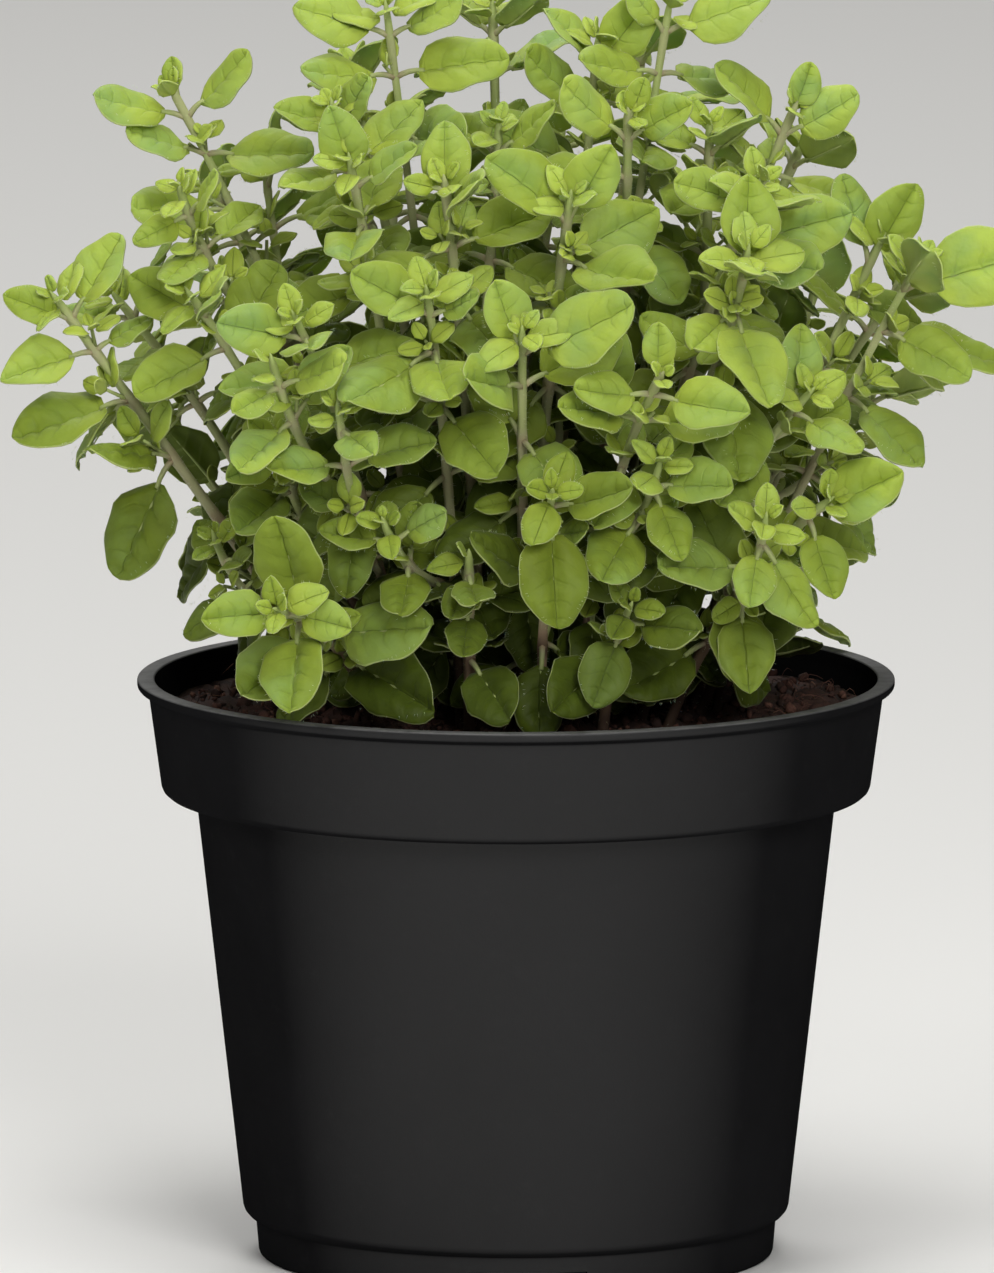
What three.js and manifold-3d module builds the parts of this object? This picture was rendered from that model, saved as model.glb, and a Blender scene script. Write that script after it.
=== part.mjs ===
// A pot of oregano: leafy stems growing from peat in a round plastic nursery pot.
// Millimetres, +Z up. The origin is on the floor under the middle of the pot, and -Y is the front.

import * as THREE from "three";
import { mergeVertices } from "three/addons/utils/BufferGeometryUtils.js";
import Module from "manifold-3d";

const wasm = await Module();
wasm.setup();

// ---- Pot: a thin moulded shell with a wide band under the lip and a stepped foot ----
const POT_HEIGHT = 100;
const LIP_RADIUS = 65;
const LIP_DEPTH = 3.4;
const LIP_EDGE = 0.7; // rounding of the lip
const LIP_UNDERCUT = 1.7; // slope of the lip's underside
const BAND_TOP_RADIUS = 63.1;
const BAND_FOOT_RADIUS = 60.7;
const BAND_DEPTH = 19.7; // lip included
const BAND_EDGE = 1.2; // rounding where the band turns under
const BODY_TOP_RADIUS = 55;
const BODY_FOOT_RADIUS = 46.8;
const STEP_HEIGHT = 6.8; // where the wall steps in to the foot
const STEP_DEPTH = 0.6;
const FOOT_TOP_RADIUS = 44.8;
const FOOT_RADIUS = 44.2;
const FOOT_EDGE = 0.7; // rounding under the foot
const FOOT_RING = 3; // width of the ring that the pot stands on
const BASE_HEIGHT = 4; // underside of the raised floor
const WALL = 1.1;
const POT_SIDES = 32;
const NOTCHES = 3; // gaps in the foot that let water run away
const NOTCH_TURN = 2.8; // degrees from the front to the first one
const NOTCH_WIDTH = 20;
const NOTCH_REACH = 8; // how far the cut runs to either side of the foot's wall
const DRAIN_WIDTH = 7;
const DRAIN_INNER = 27;
const DRAIN_OUTER = 38;

// ---- Soil: peat that fills the pot to a little below the lip ----
const GAP = 0.3; // clearance that touching pieces keep
const SOIL_LEVEL = 94;
const SOIL_MOUND = 1.5; // the middle stands this much higher than the edge
const SOIL_LUMP = 0.8; // height of the lumps
const SOIL_RINGS = 4;
const ROOT_DEPTH = 7; // length of stem below the soil's surface
const HOLE_MARGIN = 0.45;

// ---- Stems ----
const STEM_FOOT_RADIUS = 1.15;
const STEM_TIP_RADIUS = 0.75;
const BRANCH_RADIUS = 0.9;
const STEM_SIDES = 4; // mints have square stems
const STEM_STEPS = 4;
const BRANCH_STEPS = 2;
const BUD_LENGTH = 3.5; // the pointed bud that ends every shoot
const BRANCH_ARCH = -0.35; // a branch leaves its stem outwards and then turns up
const ARCH_BACK = 0.5; // what an arch of 1 does to the middle of a stem's curve, as shares of
const ARCH_RISE = 0.35; // its reach sideways, of its height,
const ARCH_LIFT = 0.3; // and of its reach again, upwards

// ---- Leaves ----
const RIB_THICKNESS = 1.2; // a blade is thickest at its rib and thins out to its edge
const PETIOLE_SHARE = 0.22; // the stalk's length as a share of the blade's,
const STALK_FOOT = 1; // beyond the stem's own radius
const HALF_WIDTH = 0.38; // of the blade's length, at its widest
const CUP = 0.12; // rise of the blade's halves from the rib
const CUP_SPREAD = 0.16;
const CURL = 0.1; // fall of the blade's tip
const CURL_SPREAD = 0.1;
const CURL_HANGING = 0.12; // more of it on a blade that hangs
const TURN_SPREAD = 12; // degrees
const LIFT_SPREAD = 9;
const ROLL_SPREAD = 14;
const SIZE_SPREAD = 0.1;
const LOWEST_LEAF = 0.04; // the bare share of a stem at its foot
const TURN_TO_LIGHT = 1.3; // how strongly a blade turns its face to the light
const LIGHT_OUT = 0.75; // the light's share from the plant's own side,
const LIGHT_FRONT = 0.75; // from the front, where a window stood,
const LIGHT_FRONT_EDGE = 1.5; // on the leaves of the outline,
const LIGHT_DEPTH = 30; // fading out this far behind the middle,
const LIGHT_UP = 0.9; // and from above

// Each pair of leaves down from a tip: distance along the stem, blade length as a share of the
// shoot's blade, angle above square to the stem, and how far the blade hangs. The first pair is
// still folded into the pointed bud on most tips.
const PAIRS = [
  { down: 0.4, size: 0.5, lift: 56, hang: 0 },
  { down: 4, size: 0.84, lift: 34, hang: 0 },
  { down: 11, size: 1.0, lift: 20, hang: 0.1 },
  { down: 22, size: 1.0, lift: 12, hang: 0.3 },
  { down: 35, size: 0.95, lift: 5, hang: 0.6 },
  { down: 50, size: 0.88, lift: 0, hang: 0.8 },
  { down: 64, size: 0.84, lift: -5, hang: 0.8 },
  { down: 77, size: 0.8, lift: -8, hang: 0.8 },
];

// A leaf that would grow into a neighbour tries these turns about the stem and along it, in
// degrees, and these shares of its size. One that finds no room isn't grown.
const TRIES = [
  [0, 0, 1], [14, 10, 1], [-14, 10, 1], [0, -20, 1], [0, 24, 1], [26, -8, 0.92],
  [-26, -8, 0.92], [30, 22, 0.85], [-30, 22, 0.85], [0, -40, 0.8], [0, 42, 0.8],
  [40, 0, 0.72], [-40, 0, 0.72], [20, 35, 0.6], [-20, -30, 0.6],
];
const LEAF_GAP = 1.55; // between the middles of two blades
const POT_GAP = 1.6;
const STEM_CLEARANCE = 1;
const OWN_STEM = 2.5; // a leaf may touch its own stem this close to its stalk
const ONE_NODE = 6; // leaves of one shoot that start this close may touch
const LONGEST = 1.2; // length of the longest blade, as a share of its shoot's
const END_MARGIN = 0.08; // share of a blade's length kept free beyond its ends
const SIDE_MARGIN = 0.5;

// ---- The shoots. root and tip are places, and arch bends a stem's curve. at is the share of its
// stem where a branch leaves. turn sets the first pair of leaves about the stem, and stretch
// widens the spaces between pairs. reach gives, by pair, where the tips of leaves that make the
// plant's outline lie. ----
const STEMS = [
  { root: [-22, -8], tip: [-78, -10, 166], arch: 0.02, pairs: 6, blade: 15, turn: 40, stretch: 0.95,
    reach: {
      1: [[-68, -9, 178], [-87, -12, 168]],
      2: [[-88, -15, 155], [-63, -12, 165]],
      3: [[-86, -14, 145], null],
      4: [[-70, -16, 121], [-72, -19, 144]],
    },
    branches: [{ at: 0.3, tip: [-51, -20, 126], pairs: 2, blade: 10, turn: 30 }] },
  { root: [-21, -17], tip: [-40, -57, 120], arch: 0.35, pairs: 5, blade: 14, turn: 8, stretch: 0.8,
    reach: {
      1: [[-53, -60, 120], [-28, -61, 118]],
      2: [[-40, -56, 136], [-39, -65, 105]],
      3: [[-49, -62, 105], [-17, -55, 118]],
      4: [[-12, -59, 103], null],
    } },
  { root: [-14, 2], tip: [-58, 0, 200], arch: 0.16, pairs: 6, blade: 14, turn: 15,
    reach: {
      0: [[-59, 2, 207], null],
      1: [[-72, -5, 202], [-46, -4, 209]],
      2: [[-66, -6, 196], [-35, -6, 192]],
      3: [[-65, -8, 183], null],
    },
    branches: [
      { at: 0.55, tip: [-43, 9, 187], pairs: 4, blade: 15, turn: 0 },
      { at: 0.6, tip: [-57, -13, 185], pairs: 3, blade: 11, turn: 60,
        reach: { 1: [[-65, -17, 178], null] } },
    ] },
  { root: [-8, -3], tip: [-22, -5, 215], arch: 0.1, pairs: 6, blade: 15, turn: 0,
    reach: {
      1: [[-37, -9, 218], [-9, -8, 219]],
      2: [[-36, -15, 207], [-2, -9, 210]],
      3: [[-11, -22, 197], null],
    },
    branches: [
      { at: 0.62, tip: [-31, -19, 200], pairs: 4, blade: 12.5, turn: 30,
        reach: { 1: [[-40, -22, 202], [-26, -23, 207]] } },
    ] },
  { root: [-14, -12], tip: [-28, -30, 192], arch: 0.2, pairs: 5, blade: 13, turn: 75,
    reach: { 1: [[-31, -32, 202], null] } },
  { root: [-5, -17], tip: [-12, -36, 189], arch: 0.25, pairs: 7, blade: 14.5, turn: 25,
    reach: { 0: [[-19, -38, 191], [-5, -38, 191]], 1: [[-13, -37, 200], null] },
    branches: [{ at: 0.55, tip: [-3, -15, 196], pairs: 4, blade: 13, turn: 60 }] },
  { root: [-9, -23], tip: [-15, -47, 172], arch: 0.35, pairs: 7, blade: 15.5, turn: 20,
    reach: {
      1: [[-27, -50, 177], [-6, -50, 173]],
      2: [[-29, -58, 156], [-12, -60, 158]],
    },
    branches: [{ at: 0.38, tip: [-22, -50, 133], pairs: 3, blade: 11, turn: 80 }] },
  { root: [-17, -20], tip: [-37, -42, 167], arch: 0.3, pairs: 6, blade: 14, turn: 10,
    reach: { 1: [[-50, -46, 168], null] },
    branches: [
      { at: 0.55, tip: [-41, -47, 160], pairs: 3, blade: 13.5, turn: 50,
        reach: { 1: [[-48, -54, 154], null] } },
      { at: 0.42, tip: [-30, -52, 153], pairs: 4, blade: 11.5, turn: 20 },
    ] },
  { root: [-19, -1], tip: [-55, -19, 168], arch: 0.2, pairs: 6, blade: 15, turn: 35,
    reach: { 2: [[-65, -22, 153], null] },
    branches: [
      { at: 0.45, tip: [-40, -34, 145], pairs: 4, blade: 14, turn: 60,
        reach: { 1: [[-49, -38, 141], null] } },
    ] },
  { root: [4, 1], tip: [14, 2, 209], arch: 0.1, pairs: 7, blade: 15, turn: 20,
    reach: {
      1: [[6, 0, 216], [23, 0, 217]],
      2: [[1, -4, 208], null],
      3: [[-7, -3, 199], null],
    } },
  { root: [9, -2], tip: [26, 0, 215], arch: 0.12, pairs: 7, blade: 14.5, turn: 0,
    reach: { 1: [[20, -4, 220], [43, -4, 219]] },
    branches: [
      { at: 0.6, tip: [19, -22, 199], pairs: 4, blade: 13.5, turn: 25,
        reach: { 0: [[22, -24, 206], null], 1: [[8, -26, 206], [29, -26, 203]] } },
    ] },
  { root: [15, 3], tip: [47, 0, 197], arch: 0.2, pairs: 6, blade: 13.5, turn: 10,
    reach: { 0: [[51, 0, 206], null], 1: [[35, -4, 207], [58, -4, 201]] },
    branches: [{ at: 0.6, tip: [33, -8, 195], pairs: 4, blade: 14, turn: 50 }] },
  { root: [14, -11], tip: [41, -27, 188], arch: 0.25, pairs: 7, blade: 15, turn: 30,
    reach: { 1: [[28, -31, 191], null], 2: [[51, -36, 175], [57, -24, 184]] },
    branches: [
      { at: 0.55, tip: [39, -42, 178], pairs: 4, blade: 17, turn: 15,
        reach: { 2: [[30, -50, 164], [43, -54, 157]] } },
    ] },
  { root: [27, -3], tip: [62, -8, 176], arch: 0.1, pairs: 5, blade: 13.5, turn: 20, stretch: 1.1,
    reach: { 1: [[57, -8, 188], [68, -10, 186]], 2: [[57, -14, 165], null] } },
  { root: [28, -11], tip: [68, -17, 173], arch: 0.08, pairs: 5, blade: 16, turn: 0, stretch: 1.15,
    reach: {
      1: [[88, -20, 177], null],
      2: [[78, -24, 164], null],
      3: [[70, -24, 142], null],
    } },
  { root: [1, -13], tip: [9, -39, 187], arch: 0.25, pairs: 7, blade: 15, turn: 35,
    reach: { 1: [[-3, -42, 196], [16, -42, 197]], 2: [[23, -50, 174], null] } },
  { root: [1, -25], tip: [1, -53, 166], arch: 0.35, pairs: 6, blade: 15, turn: 20,
    reach: { 1: [[-4, -54, 176], [20, -58, 172]], 2: [[-12, -62, 159], null] } },
  { root: [9, -24], tip: [24, -56, 159], arch: 0.4, pairs: 6, blade: 13.5, turn: 5,
    reach: { 0: [[24, -57, 169], null], 1: [[10, -60, 158], [39, -60, 154]] },
    branches: [
      { at: 0.5, tip: [24, -50, 143], pairs: 3, blade: 14, turn: 70,
        reach: { 1: [[29, -56, 129], null] } },
    ] },
  { root: [19, -18], tip: [49, -40, 154], arch: 0.3, pairs: 6, blade: 13.5, turn: 45,
    reach: { 2: [[35, -48, 137], null] } },
  { root: [23, -23], tip: [52, -43, 136], arch: 0.3, pairs: 5, blade: 15, turn: 20,
    reach: {
      1: [[65, -47, 143], [54, -48, 121]],
      2: [[44, -50, 125], null],
      3: [[37, -45, 106], null],
    },
    branches: [
      { at: 0.55, tip: [42, -53, 134], pairs: 3, blade: 14, turn: 0,
        reach: { 1: [[39, -59, 121], [51, -54, 117]] } },
    ] },
  { root: [4, -34], tip: [6, -60, 140], arch: 0.5, pairs: 4, blade: 15.5, turn: 85,
    reach: { 1: [[7, -67, 119], null], 2: [[9, -62, 134], null] } },
  { root: [14, -35], tip: [19, -50, 119], arch: 0.4, pairs: 3, blade: 14, turn: 60,
    reach: { 1: [[13, -56, 104], null] } },
  { root: [-8, -35], tip: [-8, -52, 128], arch: 0.4, pairs: 4, blade: 13.5, turn: 30,
    reach: { 1: [[-11, -58, 119], null], 2: [[-9, -56, 112], null] } },
  { root: [-8, 9], tip: [-28, 28, 201], arch: 0.15, pairs: 5, blade: 14, turn: 30,
    branches: [{ at: 0.5, tip: [-22, 48, 184], pairs: 4, blade: 15, turn: 10 }] },
  { root: [-1, 8], tip: [-4, 22, 212], arch: 0.12, pairs: 5, blade: 14, turn: 50,
    branches: [{ at: 0.5, tip: [8, 50, 188], pairs: 4, blade: 15, turn: 75 }] },
  { root: [8, 11], tip: [22, 28, 206], arch: 0.15, pairs: 5, blade: 14, turn: 10,
    branches: [{ at: 0.5, tip: [34, 48, 178], pairs: 4, blade: 15, turn: 35 }] },
  { root: [17, 11], tip: [49, 28, 188], arch: 0.2, pairs: 5, blade: 14, turn: 40,
    branches: [{ at: 0.5, tip: [52, 48, 160], pairs: 3, blade: 15, turn: 0 }] },
  { root: [-18, 11], tip: [-52, 30, 181], arch: 0.2, pairs: 5, blade: 14, turn: 20,
    branches: [{ at: 0.5, tip: [-43, 50, 162], pairs: 3, blade: 15, turn: 60 }] },
  { root: [-25, 6], tip: [-68, 14, 163], arch: 0.2, pairs: 4, blade: 15, turn: 70,
    branches: [{ at: 0.45, tip: [-60, 34, 142], pairs: 3, blade: 15, turn: 30 }] },
  { root: [25, 8], tip: [67, 18, 166], arch: 0.2, pairs: 4, blade: 15, turn: 25,
    branches: [{ at: 0.5, tip: [62, 36, 145], pairs: 3, blade: 15, turn: 55 }] },
  { root: [-5, 21], tip: [-9, 54, 161], arch: 0.3, pairs: 5, blade: 15, turn: 15,
    branches: [{ at: 0.5, tip: [-30, 53, 142], pairs: 3, blade: 15, turn: 45 }] },
  { root: [7, 22], tip: [20, 55, 164], arch: 0.3, pairs: 5, blade: 15, turn: 65,
    branches: [{ at: 0.5, tip: [38, 53, 138], pairs: 3, blade: 15, turn: 20 }] },
  { root: [1, 31], tip: [2, 55, 130], arch: 0.4, pairs: 3, blade: 15, turn: 40 },
];

// ---- Colours, linear red, green and blue ----
const material = (color, roughness) =>
  new THREE.MeshStandardMaterial({ color: new THREE.Color(...color), roughness, metalness: 0 });
const POT_PLASTIC = material([0.025, 0.025, 0.026], 0.5);
const PEAT = material([0.05, 0.022, 0.014], 0.95);
const LEAF = material([0.3, 0.5, 0.07], 0.6);

// ---- Small tools ----
const UP = new THREE.Vector3(0, 0, 1);
const ACROSS = new THREE.Vector3(1, 0, 0);
const FRONT = new THREE.Vector3(0, -1, 0);
const radians = THREE.MathUtils.degToRad;
const lerp = THREE.MathUtils.lerp;

// Draws from 0 to 1, the same ones in every run.
let seed = 20;
function draw() {
  seed = (seed * 1664525 + 1013904223) % 4294967296;
  return seed / 4294967296;
}
const wobble = (range) => (2 * draw() - 1) * range;

// A closed geometry as a solid that manifold-3d can join and cut.
function solidOf(geometry) {
  const bare = geometry.clone();
  bare.deleteAttribute("normal");
  bare.deleteAttribute("uv");
  const merged = mergeVertices(bare, 1e-4);
  return new wasm.Manifold(
    new wasm.Mesh({
      numProp: 3,
      vertProperties: merged.attributes.position.array,
      triVerts: new Uint32Array(merged.index.array),
    }),
  );
}

function geometryOf(solid) {
  const { numProp, numVert, vertProperties, triVerts } = solid.getMesh();
  const position = new Float32Array(numVert * 3);
  for (let i = 0; i < numVert; i++)
    position.set(vertProperties.subarray(i * numProp, i * numProp + 3), i * 3);
  return new THREE.BufferGeometry()
    .setAttribute("position", new THREE.BufferAttribute(position, 3))
    .setIndex(new THREE.BufferAttribute(triVerts, 1));
}

function faceted(points, triangles) {
  return new THREE.BufferGeometry().setFromPoints(points).setIndex(triangles);
}

// ---- Pot ----
// Radius and height of the inner wall at a few levels, from the floor to the lip.
const BAND_FOOT_HEIGHT = POT_HEIGHT - BAND_DEPTH;
const INNER_WALL = {
  floor: [FOOT_TOP_RADIUS - WALL, BASE_HEIGHT + WALL],
  stepFoot: [FOOT_TOP_RADIUS - WALL, STEP_HEIGHT + WALL],
  stepTop: [BODY_FOOT_RADIUS - WALL, STEP_HEIGHT + STEP_DEPTH + WALL],
  bodyTop: [BODY_TOP_RADIUS - WALL, BAND_FOOT_HEIGHT + WALL],
  bandFoot: [BAND_FOOT_RADIUS - WALL, BAND_FOOT_HEIGHT + WALL + BAND_EDGE / 2],
  bandTop: [BAND_TOP_RADIUS - WALL, POT_HEIGHT - LIP_DEPTH / 2],
};

function potProfile() {
  const outside = [
    [0, BASE_HEIGHT],
    [FOOT_RADIUS - FOOT_RING - 1, BASE_HEIGHT],
    [FOOT_RADIUS - FOOT_RING, 0],
    [FOOT_RADIUS - FOOT_EDGE, 0],
    [FOOT_RADIUS, FOOT_EDGE],
    [FOOT_TOP_RADIUS, STEP_HEIGHT],
    [BODY_FOOT_RADIUS, STEP_HEIGHT + STEP_DEPTH],
    [BODY_TOP_RADIUS, BAND_FOOT_HEIGHT],
    [BAND_FOOT_RADIUS - BAND_EDGE, BAND_FOOT_HEIGHT],
    [BAND_FOOT_RADIUS, BAND_FOOT_HEIGHT + BAND_EDGE],
    [BAND_TOP_RADIUS, POT_HEIGHT - LIP_DEPTH],
    [LIP_RADIUS, POT_HEIGHT - LIP_DEPTH + LIP_UNDERCUT],
    [LIP_RADIUS, POT_HEIGHT - LIP_EDGE],
    [LIP_RADIUS - LIP_EDGE, POT_HEIGHT],
    [BAND_TOP_RADIUS - WALL + LIP_EDGE, POT_HEIGHT],
  ];
  const inside = Object.values(INNER_WALL).reverse();
  return [...outside, ...inside, [0, BASE_HEIGHT + WALL]].map(([r, z]) => new THREE.Vector2(r, z));
}

function turned(profile, sides) {
  return new THREE.LatheGeometry(profile, sides).rotateX(Math.PI / 2);
}

// A block that cuts outwards from the pot's middle, between two radii.
function radialBlock(inner, outer, width, low, high, angle) {
  return solidOf(
    new THREE.BoxGeometry(outer - inner, width, high - low)
      .translate((inner + outer) / 2, 0, (low + high) / 2)
      .rotateZ(angle),
  );
}

function makePot() {
  let pot = solidOf(turned(potProfile(), POT_SIDES));
  const inner = FOOT_RADIUS - NOTCH_REACH;
  const outer = FOOT_RADIUS + NOTCH_REACH;
  for (let i = 0; i < NOTCHES; i++) {
    const angle = radians(NOTCH_TURN - 90 + (i * 360) / NOTCHES);
    pot = pot
      .subtract(radialBlock(inner, outer, NOTCH_WIDTH, -1, BASE_HEIGHT, angle))
      .subtract(
        radialBlock(DRAIN_INNER, DRAIN_OUTER, DRAIN_WIDTH, 0, BASE_HEIGHT + WALL + 1, angle),
      );
  }
  return pot;
}

// ---- Soil ----
// Height of the soil's surface: a low mound with two crossing sets of waves for its lumps.
function soilHeight(x, y) {
  const share = Math.hypot(x, y) / (BAND_TOP_RADIUS - WALL);
  const long = Math.sin(0.31 * x + 1.3) * Math.cos(0.27 * y);
  const short = Math.sin(0.55 * y - 0.43 * x + 0.7);
  return SOIL_LEVEL + SOIL_MOUND * (1 - share * share) + SOIL_LUMP * (0.62 * long + 0.38 * short);
}

// Rings of points from the middle of the underside out, up the wall and back over the surface.
function makeSoil() {
  const { floor, bodyTop, bandFoot, bandTop } = INNER_WALL;
  const rings = [
    [floor[0] - 2 * GAP, floor[1] + GAP],
    [bodyTop[0] - GAP, bodyTop[1] + GAP],
    [bandFoot[0] - GAP, bandFoot[1] + GAP],
  ];
  const share = (SOIL_LEVEL - bandFoot[1]) / (bandTop[1] - bandFoot[1]);
  const edge = lerp(bandFoot[0], bandTop[0], share) - GAP;
  for (let i = 0; i < SOIL_RINGS; i++) rings.push([(edge * (SOIL_RINGS - i)) / SOIL_RINGS, null]);

  const points = [];
  for (const [r, z] of rings)
    for (let i = 0; i < POT_SIDES; i++) {
      const a = (i * 2 * Math.PI) / POT_SIDES;
      const x = r * Math.sin(a);
      const y = -r * Math.cos(a);
      points.push(new THREE.Vector3(x, y, z ?? soilHeight(x, y)));
    }
  const under = points.length;
  points.push(new THREE.Vector3(0, 0, rings[0][1]), new THREE.Vector3(0, 0, soilHeight(0, 0)));
  const triangles = [];
  const last = (rings.length - 1) * POT_SIDES;
  for (let i = 0; i < POT_SIDES; i++) {
    const next = (i + 1) % POT_SIDES;
    triangles.push(under, next, i, under + 1, last + i, last + next);
    for (let k = 0; k < rings.length - 1; k++) {
      const a = k * POT_SIDES + i;
      const b = k * POT_SIDES + next;
      triangles.push(a, b, b + POT_SIDES, a, b + POT_SIDES, a + POT_SIDES);
    }
  }
  return solidOf(faceted(points, triangles));
}

// ---- Where the shoots run ----
// A stem rises from its root and leans out to its tip; a branch leaves its stem part way up.
function shootCurve(start, tip, arch) {
  const way = tip.clone().sub(start);
  const sideways = Math.hypot(way.x, way.y);
  const middle = start.clone().lerp(tip, 0.5);
  middle.x -= way.x * ARCH_BACK * arch;
  middle.y -= way.y * ARCH_BACK * arch;
  middle.z += (way.z * ARCH_RISE + sideways * ARCH_LIFT) * arch;
  return new THREE.QuadraticBezierCurve3(start, middle, tip);
}

// A shoot, whose stem runs straight between equally spaced middles on its curve.
function makeShoot(entry, name, start, arch, radius, steps) {
  const curve = shootCurve(start, new THREE.Vector3(...entry.tip), arch);
  return { ...entry, name, curve, radius, middles: curve.getSpacedPoints(steps) };
}

// The middle of a shoot's stem, by the share of its length from its foot.
function middleAt({ middles }, share) {
  const steps = middles.length - 1;
  const step = Math.min(Math.floor(share * steps), steps - 1);
  return middles[step].clone().lerp(middles[step + 1], share * steps - step);
}

function plan() {
  const shoots = [];
  STEMS.forEach((entry, i) => {
    const name = "leafy_stem_" + String(i + 1).padStart(2, "0");
    const foot = new THREE.Vector3(...entry.root, SOIL_LEVEL - ROOT_DEPTH);
    const stem = makeShoot(entry, name, foot, entry.arch, STEM_FOOT_RADIUS, STEM_STEPS);
    shoots.push(stem);
    for (const branch of entry.branches ?? []) {
      const fork = middleAt(stem, branch.at);
      shoots.push(makeShoot(branch, name, fork, BRANCH_ARCH, BRANCH_RADIUS, BRANCH_STEPS));
    }
  });
  return shoots;
}

// ---- Where the leaves stand ----
// Half the width of a blade, as a share of its length: round near its base, narrower at the tip.
const halfWidth = (u) => HALF_WIDTH * Math.pow(Math.sin(Math.PI * Math.pow(u, 0.82)), 0.72);

// A point on a blade, u along its rib and v across it, as a share of the half width.
function onBlade(leaf, u, v) {
  const across = halfWidth(u) * v;
  return leaf.base
    .clone()
    .addScaledVector(leaf.along, leaf.length * u)
    .addScaledVector(leaf.side, leaf.length * across)
    .addScaledVector(leaf.face, leaf.length * (leaf.cup * Math.abs(across) - leaf.curl * u * u));
}

// Two directions square to a stem: turns about it are counted from the first to the second.
function acrossStem(tangent) {
  const first = ACROSS.clone().addScaledVector(tangent, -ACROSS.dot(tangent)).normalize();
  return [first, tangent.clone().cross(first)];
}

// Where the light comes from for a leaf that starts at a point.
function lightAt(point, placed) {
  const front = placed ? LIGHT_FRONT_EDGE : LIGHT_FRONT;
  const fade = Math.max(0, 1 - Math.max(0, point.y) / LIGHT_DEPTH);
  return new THREE.Vector3(point.x, point.y, 0)
    .normalize()
    .multiplyScalar(LIGHT_OUT)
    .addScaledVector(FRONT, front * fade)
    .addScaledVector(UP, LIGHT_UP);
}

// A leaf as it stands after a turn about its stem, a turn along it, and a change of size.
function poseLeaf(wish, yaw, pitch, share) {
  const { point, tangent } = wish;
  const length = wish.length * share;
  const [first, second] = acrossStem(tangent);
  const out = first
    .multiplyScalar(Math.cos(wish.azimuth + yaw))
    .addScaledVector(second, Math.sin(wish.azimuth + yaw));
  const along = out
    .multiplyScalar(Math.cos(wish.lift + pitch))
    .addScaledVector(tangent, Math.sin(wish.lift + pitch))
    .addScaledVector(UP, -wish.hang)
    .normalize();
  const face = tangent.clone().addScaledVector(lightAt(point, wish.placed), TURN_TO_LIGHT);
  face.addScaledVector(along, -face.dot(along)).normalize();
  const side = along.clone().cross(face);
  face.multiplyScalar(Math.cos(wish.roll)).addScaledVector(side, Math.sin(wish.roll));
  side.copy(along).cross(face);
  const base = point.clone().addScaledVector(along, length * PETIOLE_SHARE + STALK_FOOT);
  const leaf = { ...wish, base, along, side, face, length };
  leaf.samples = samplesOf(leaf);
  return leaf;
}

// Points spread over a leaf and down its stalk.
const SAMPLE_STALK = [0.55, 0.8];
const SAMPLE_U = [0, 0.14, 0.28, 0.42, 0.56, 0.7, 0.85, 1];
const SAMPLE_V = [-1, -0.5, 0, 0.5, 1];
function samplesOf(leaf) {
  const points = SAMPLE_STALK.map((share) => leaf.point.clone().lerp(leaf.base, share));
  for (const u of SAMPLE_U) for (const v of SAMPLE_V) points.push(onBlade(leaf, u, v));
  return points;
}

// Whether a point lies within a distance of a leaf's blade.
function isNear(leaf, point, distance) {
  const from = point.clone().sub(leaf.base);
  const u = from.dot(leaf.along) / leaf.length;
  if (u < -END_MARGIN || u > 1 + END_MARGIN) return false;
  const across = Math.abs(from.dot(leaf.side)) / leaf.length;
  const inside = Math.min(Math.max(u, 0), 1);
  if (across > halfWidth(inside) + SIDE_MARGIN / leaf.length) return false;
  const level = leaf.cup * across - leaf.curl * inside * inside;
  return Math.abs(from.dot(leaf.face) - level * leaf.length) < distance;
}

function isClearOfPot(point) {
  const r = Math.hypot(point.x, point.y);
  if (r > LIP_RADIUS + POT_GAP || point.z > POT_HEIGHT + POT_GAP) return true;
  return r < BAND_FOOT_RADIUS - WALL - POT_GAP && point.z > soilHeight(point.x, point.y) + POT_GAP;
}

// Whether a leaf is clear of a stem, apart from the place where it grows from it.
function isClearOfStem(leaf, { shoot, points }) {
  if (shoot === leaf.shoot && leaf.order < 2) return true;
  return !points.some(
    ({ point, radius }) =>
      point.distanceTo(leaf.point) > OWN_STEM && isNear(leaf, point, radius + STEM_CLEARANCE),
  );
}

function isClearOfLeaf(leaf, other) {
  if (other.base.distanceTo(leaf.base) > other.length + leaf.length) return true;
  if (other.shoot === leaf.shoot && other.point.distanceTo(leaf.point) < ONE_NODE) return true;
  return !(
    leaf.samples.some((p) => isNear(other, p, LEAF_GAP)) ||
    other.samples.some((p) => isNear(leaf, p, LEAF_GAP))
  );
}

function hasRoom(leaf, leaves, stems) {
  return (
    leaf.samples.every(isClearOfPot) &&
    stems.every((stem) => isClearOfStem(leaf, stem)) &&
    leaves.every((other) => isClearOfLeaf(leaf, other))
  );
}

// The turn, lift and length that bring a leaf's tip to a place, or as near as its size allows.
function towards(place, point, tangent, longest) {
  const way = new THREE.Vector3(...place).sub(point);
  const length = Math.min((way.length() - STALK_FOOT) / (1 + PETIOLE_SHARE), longest);
  way.normalize();
  const [first, second] = acrossStem(tangent);
  const azimuth = Math.atan2(way.dot(second), way.dot(first));
  return { azimuth, lift: Math.asin(way.dot(tangent)), hang: 0, length };
}

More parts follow.
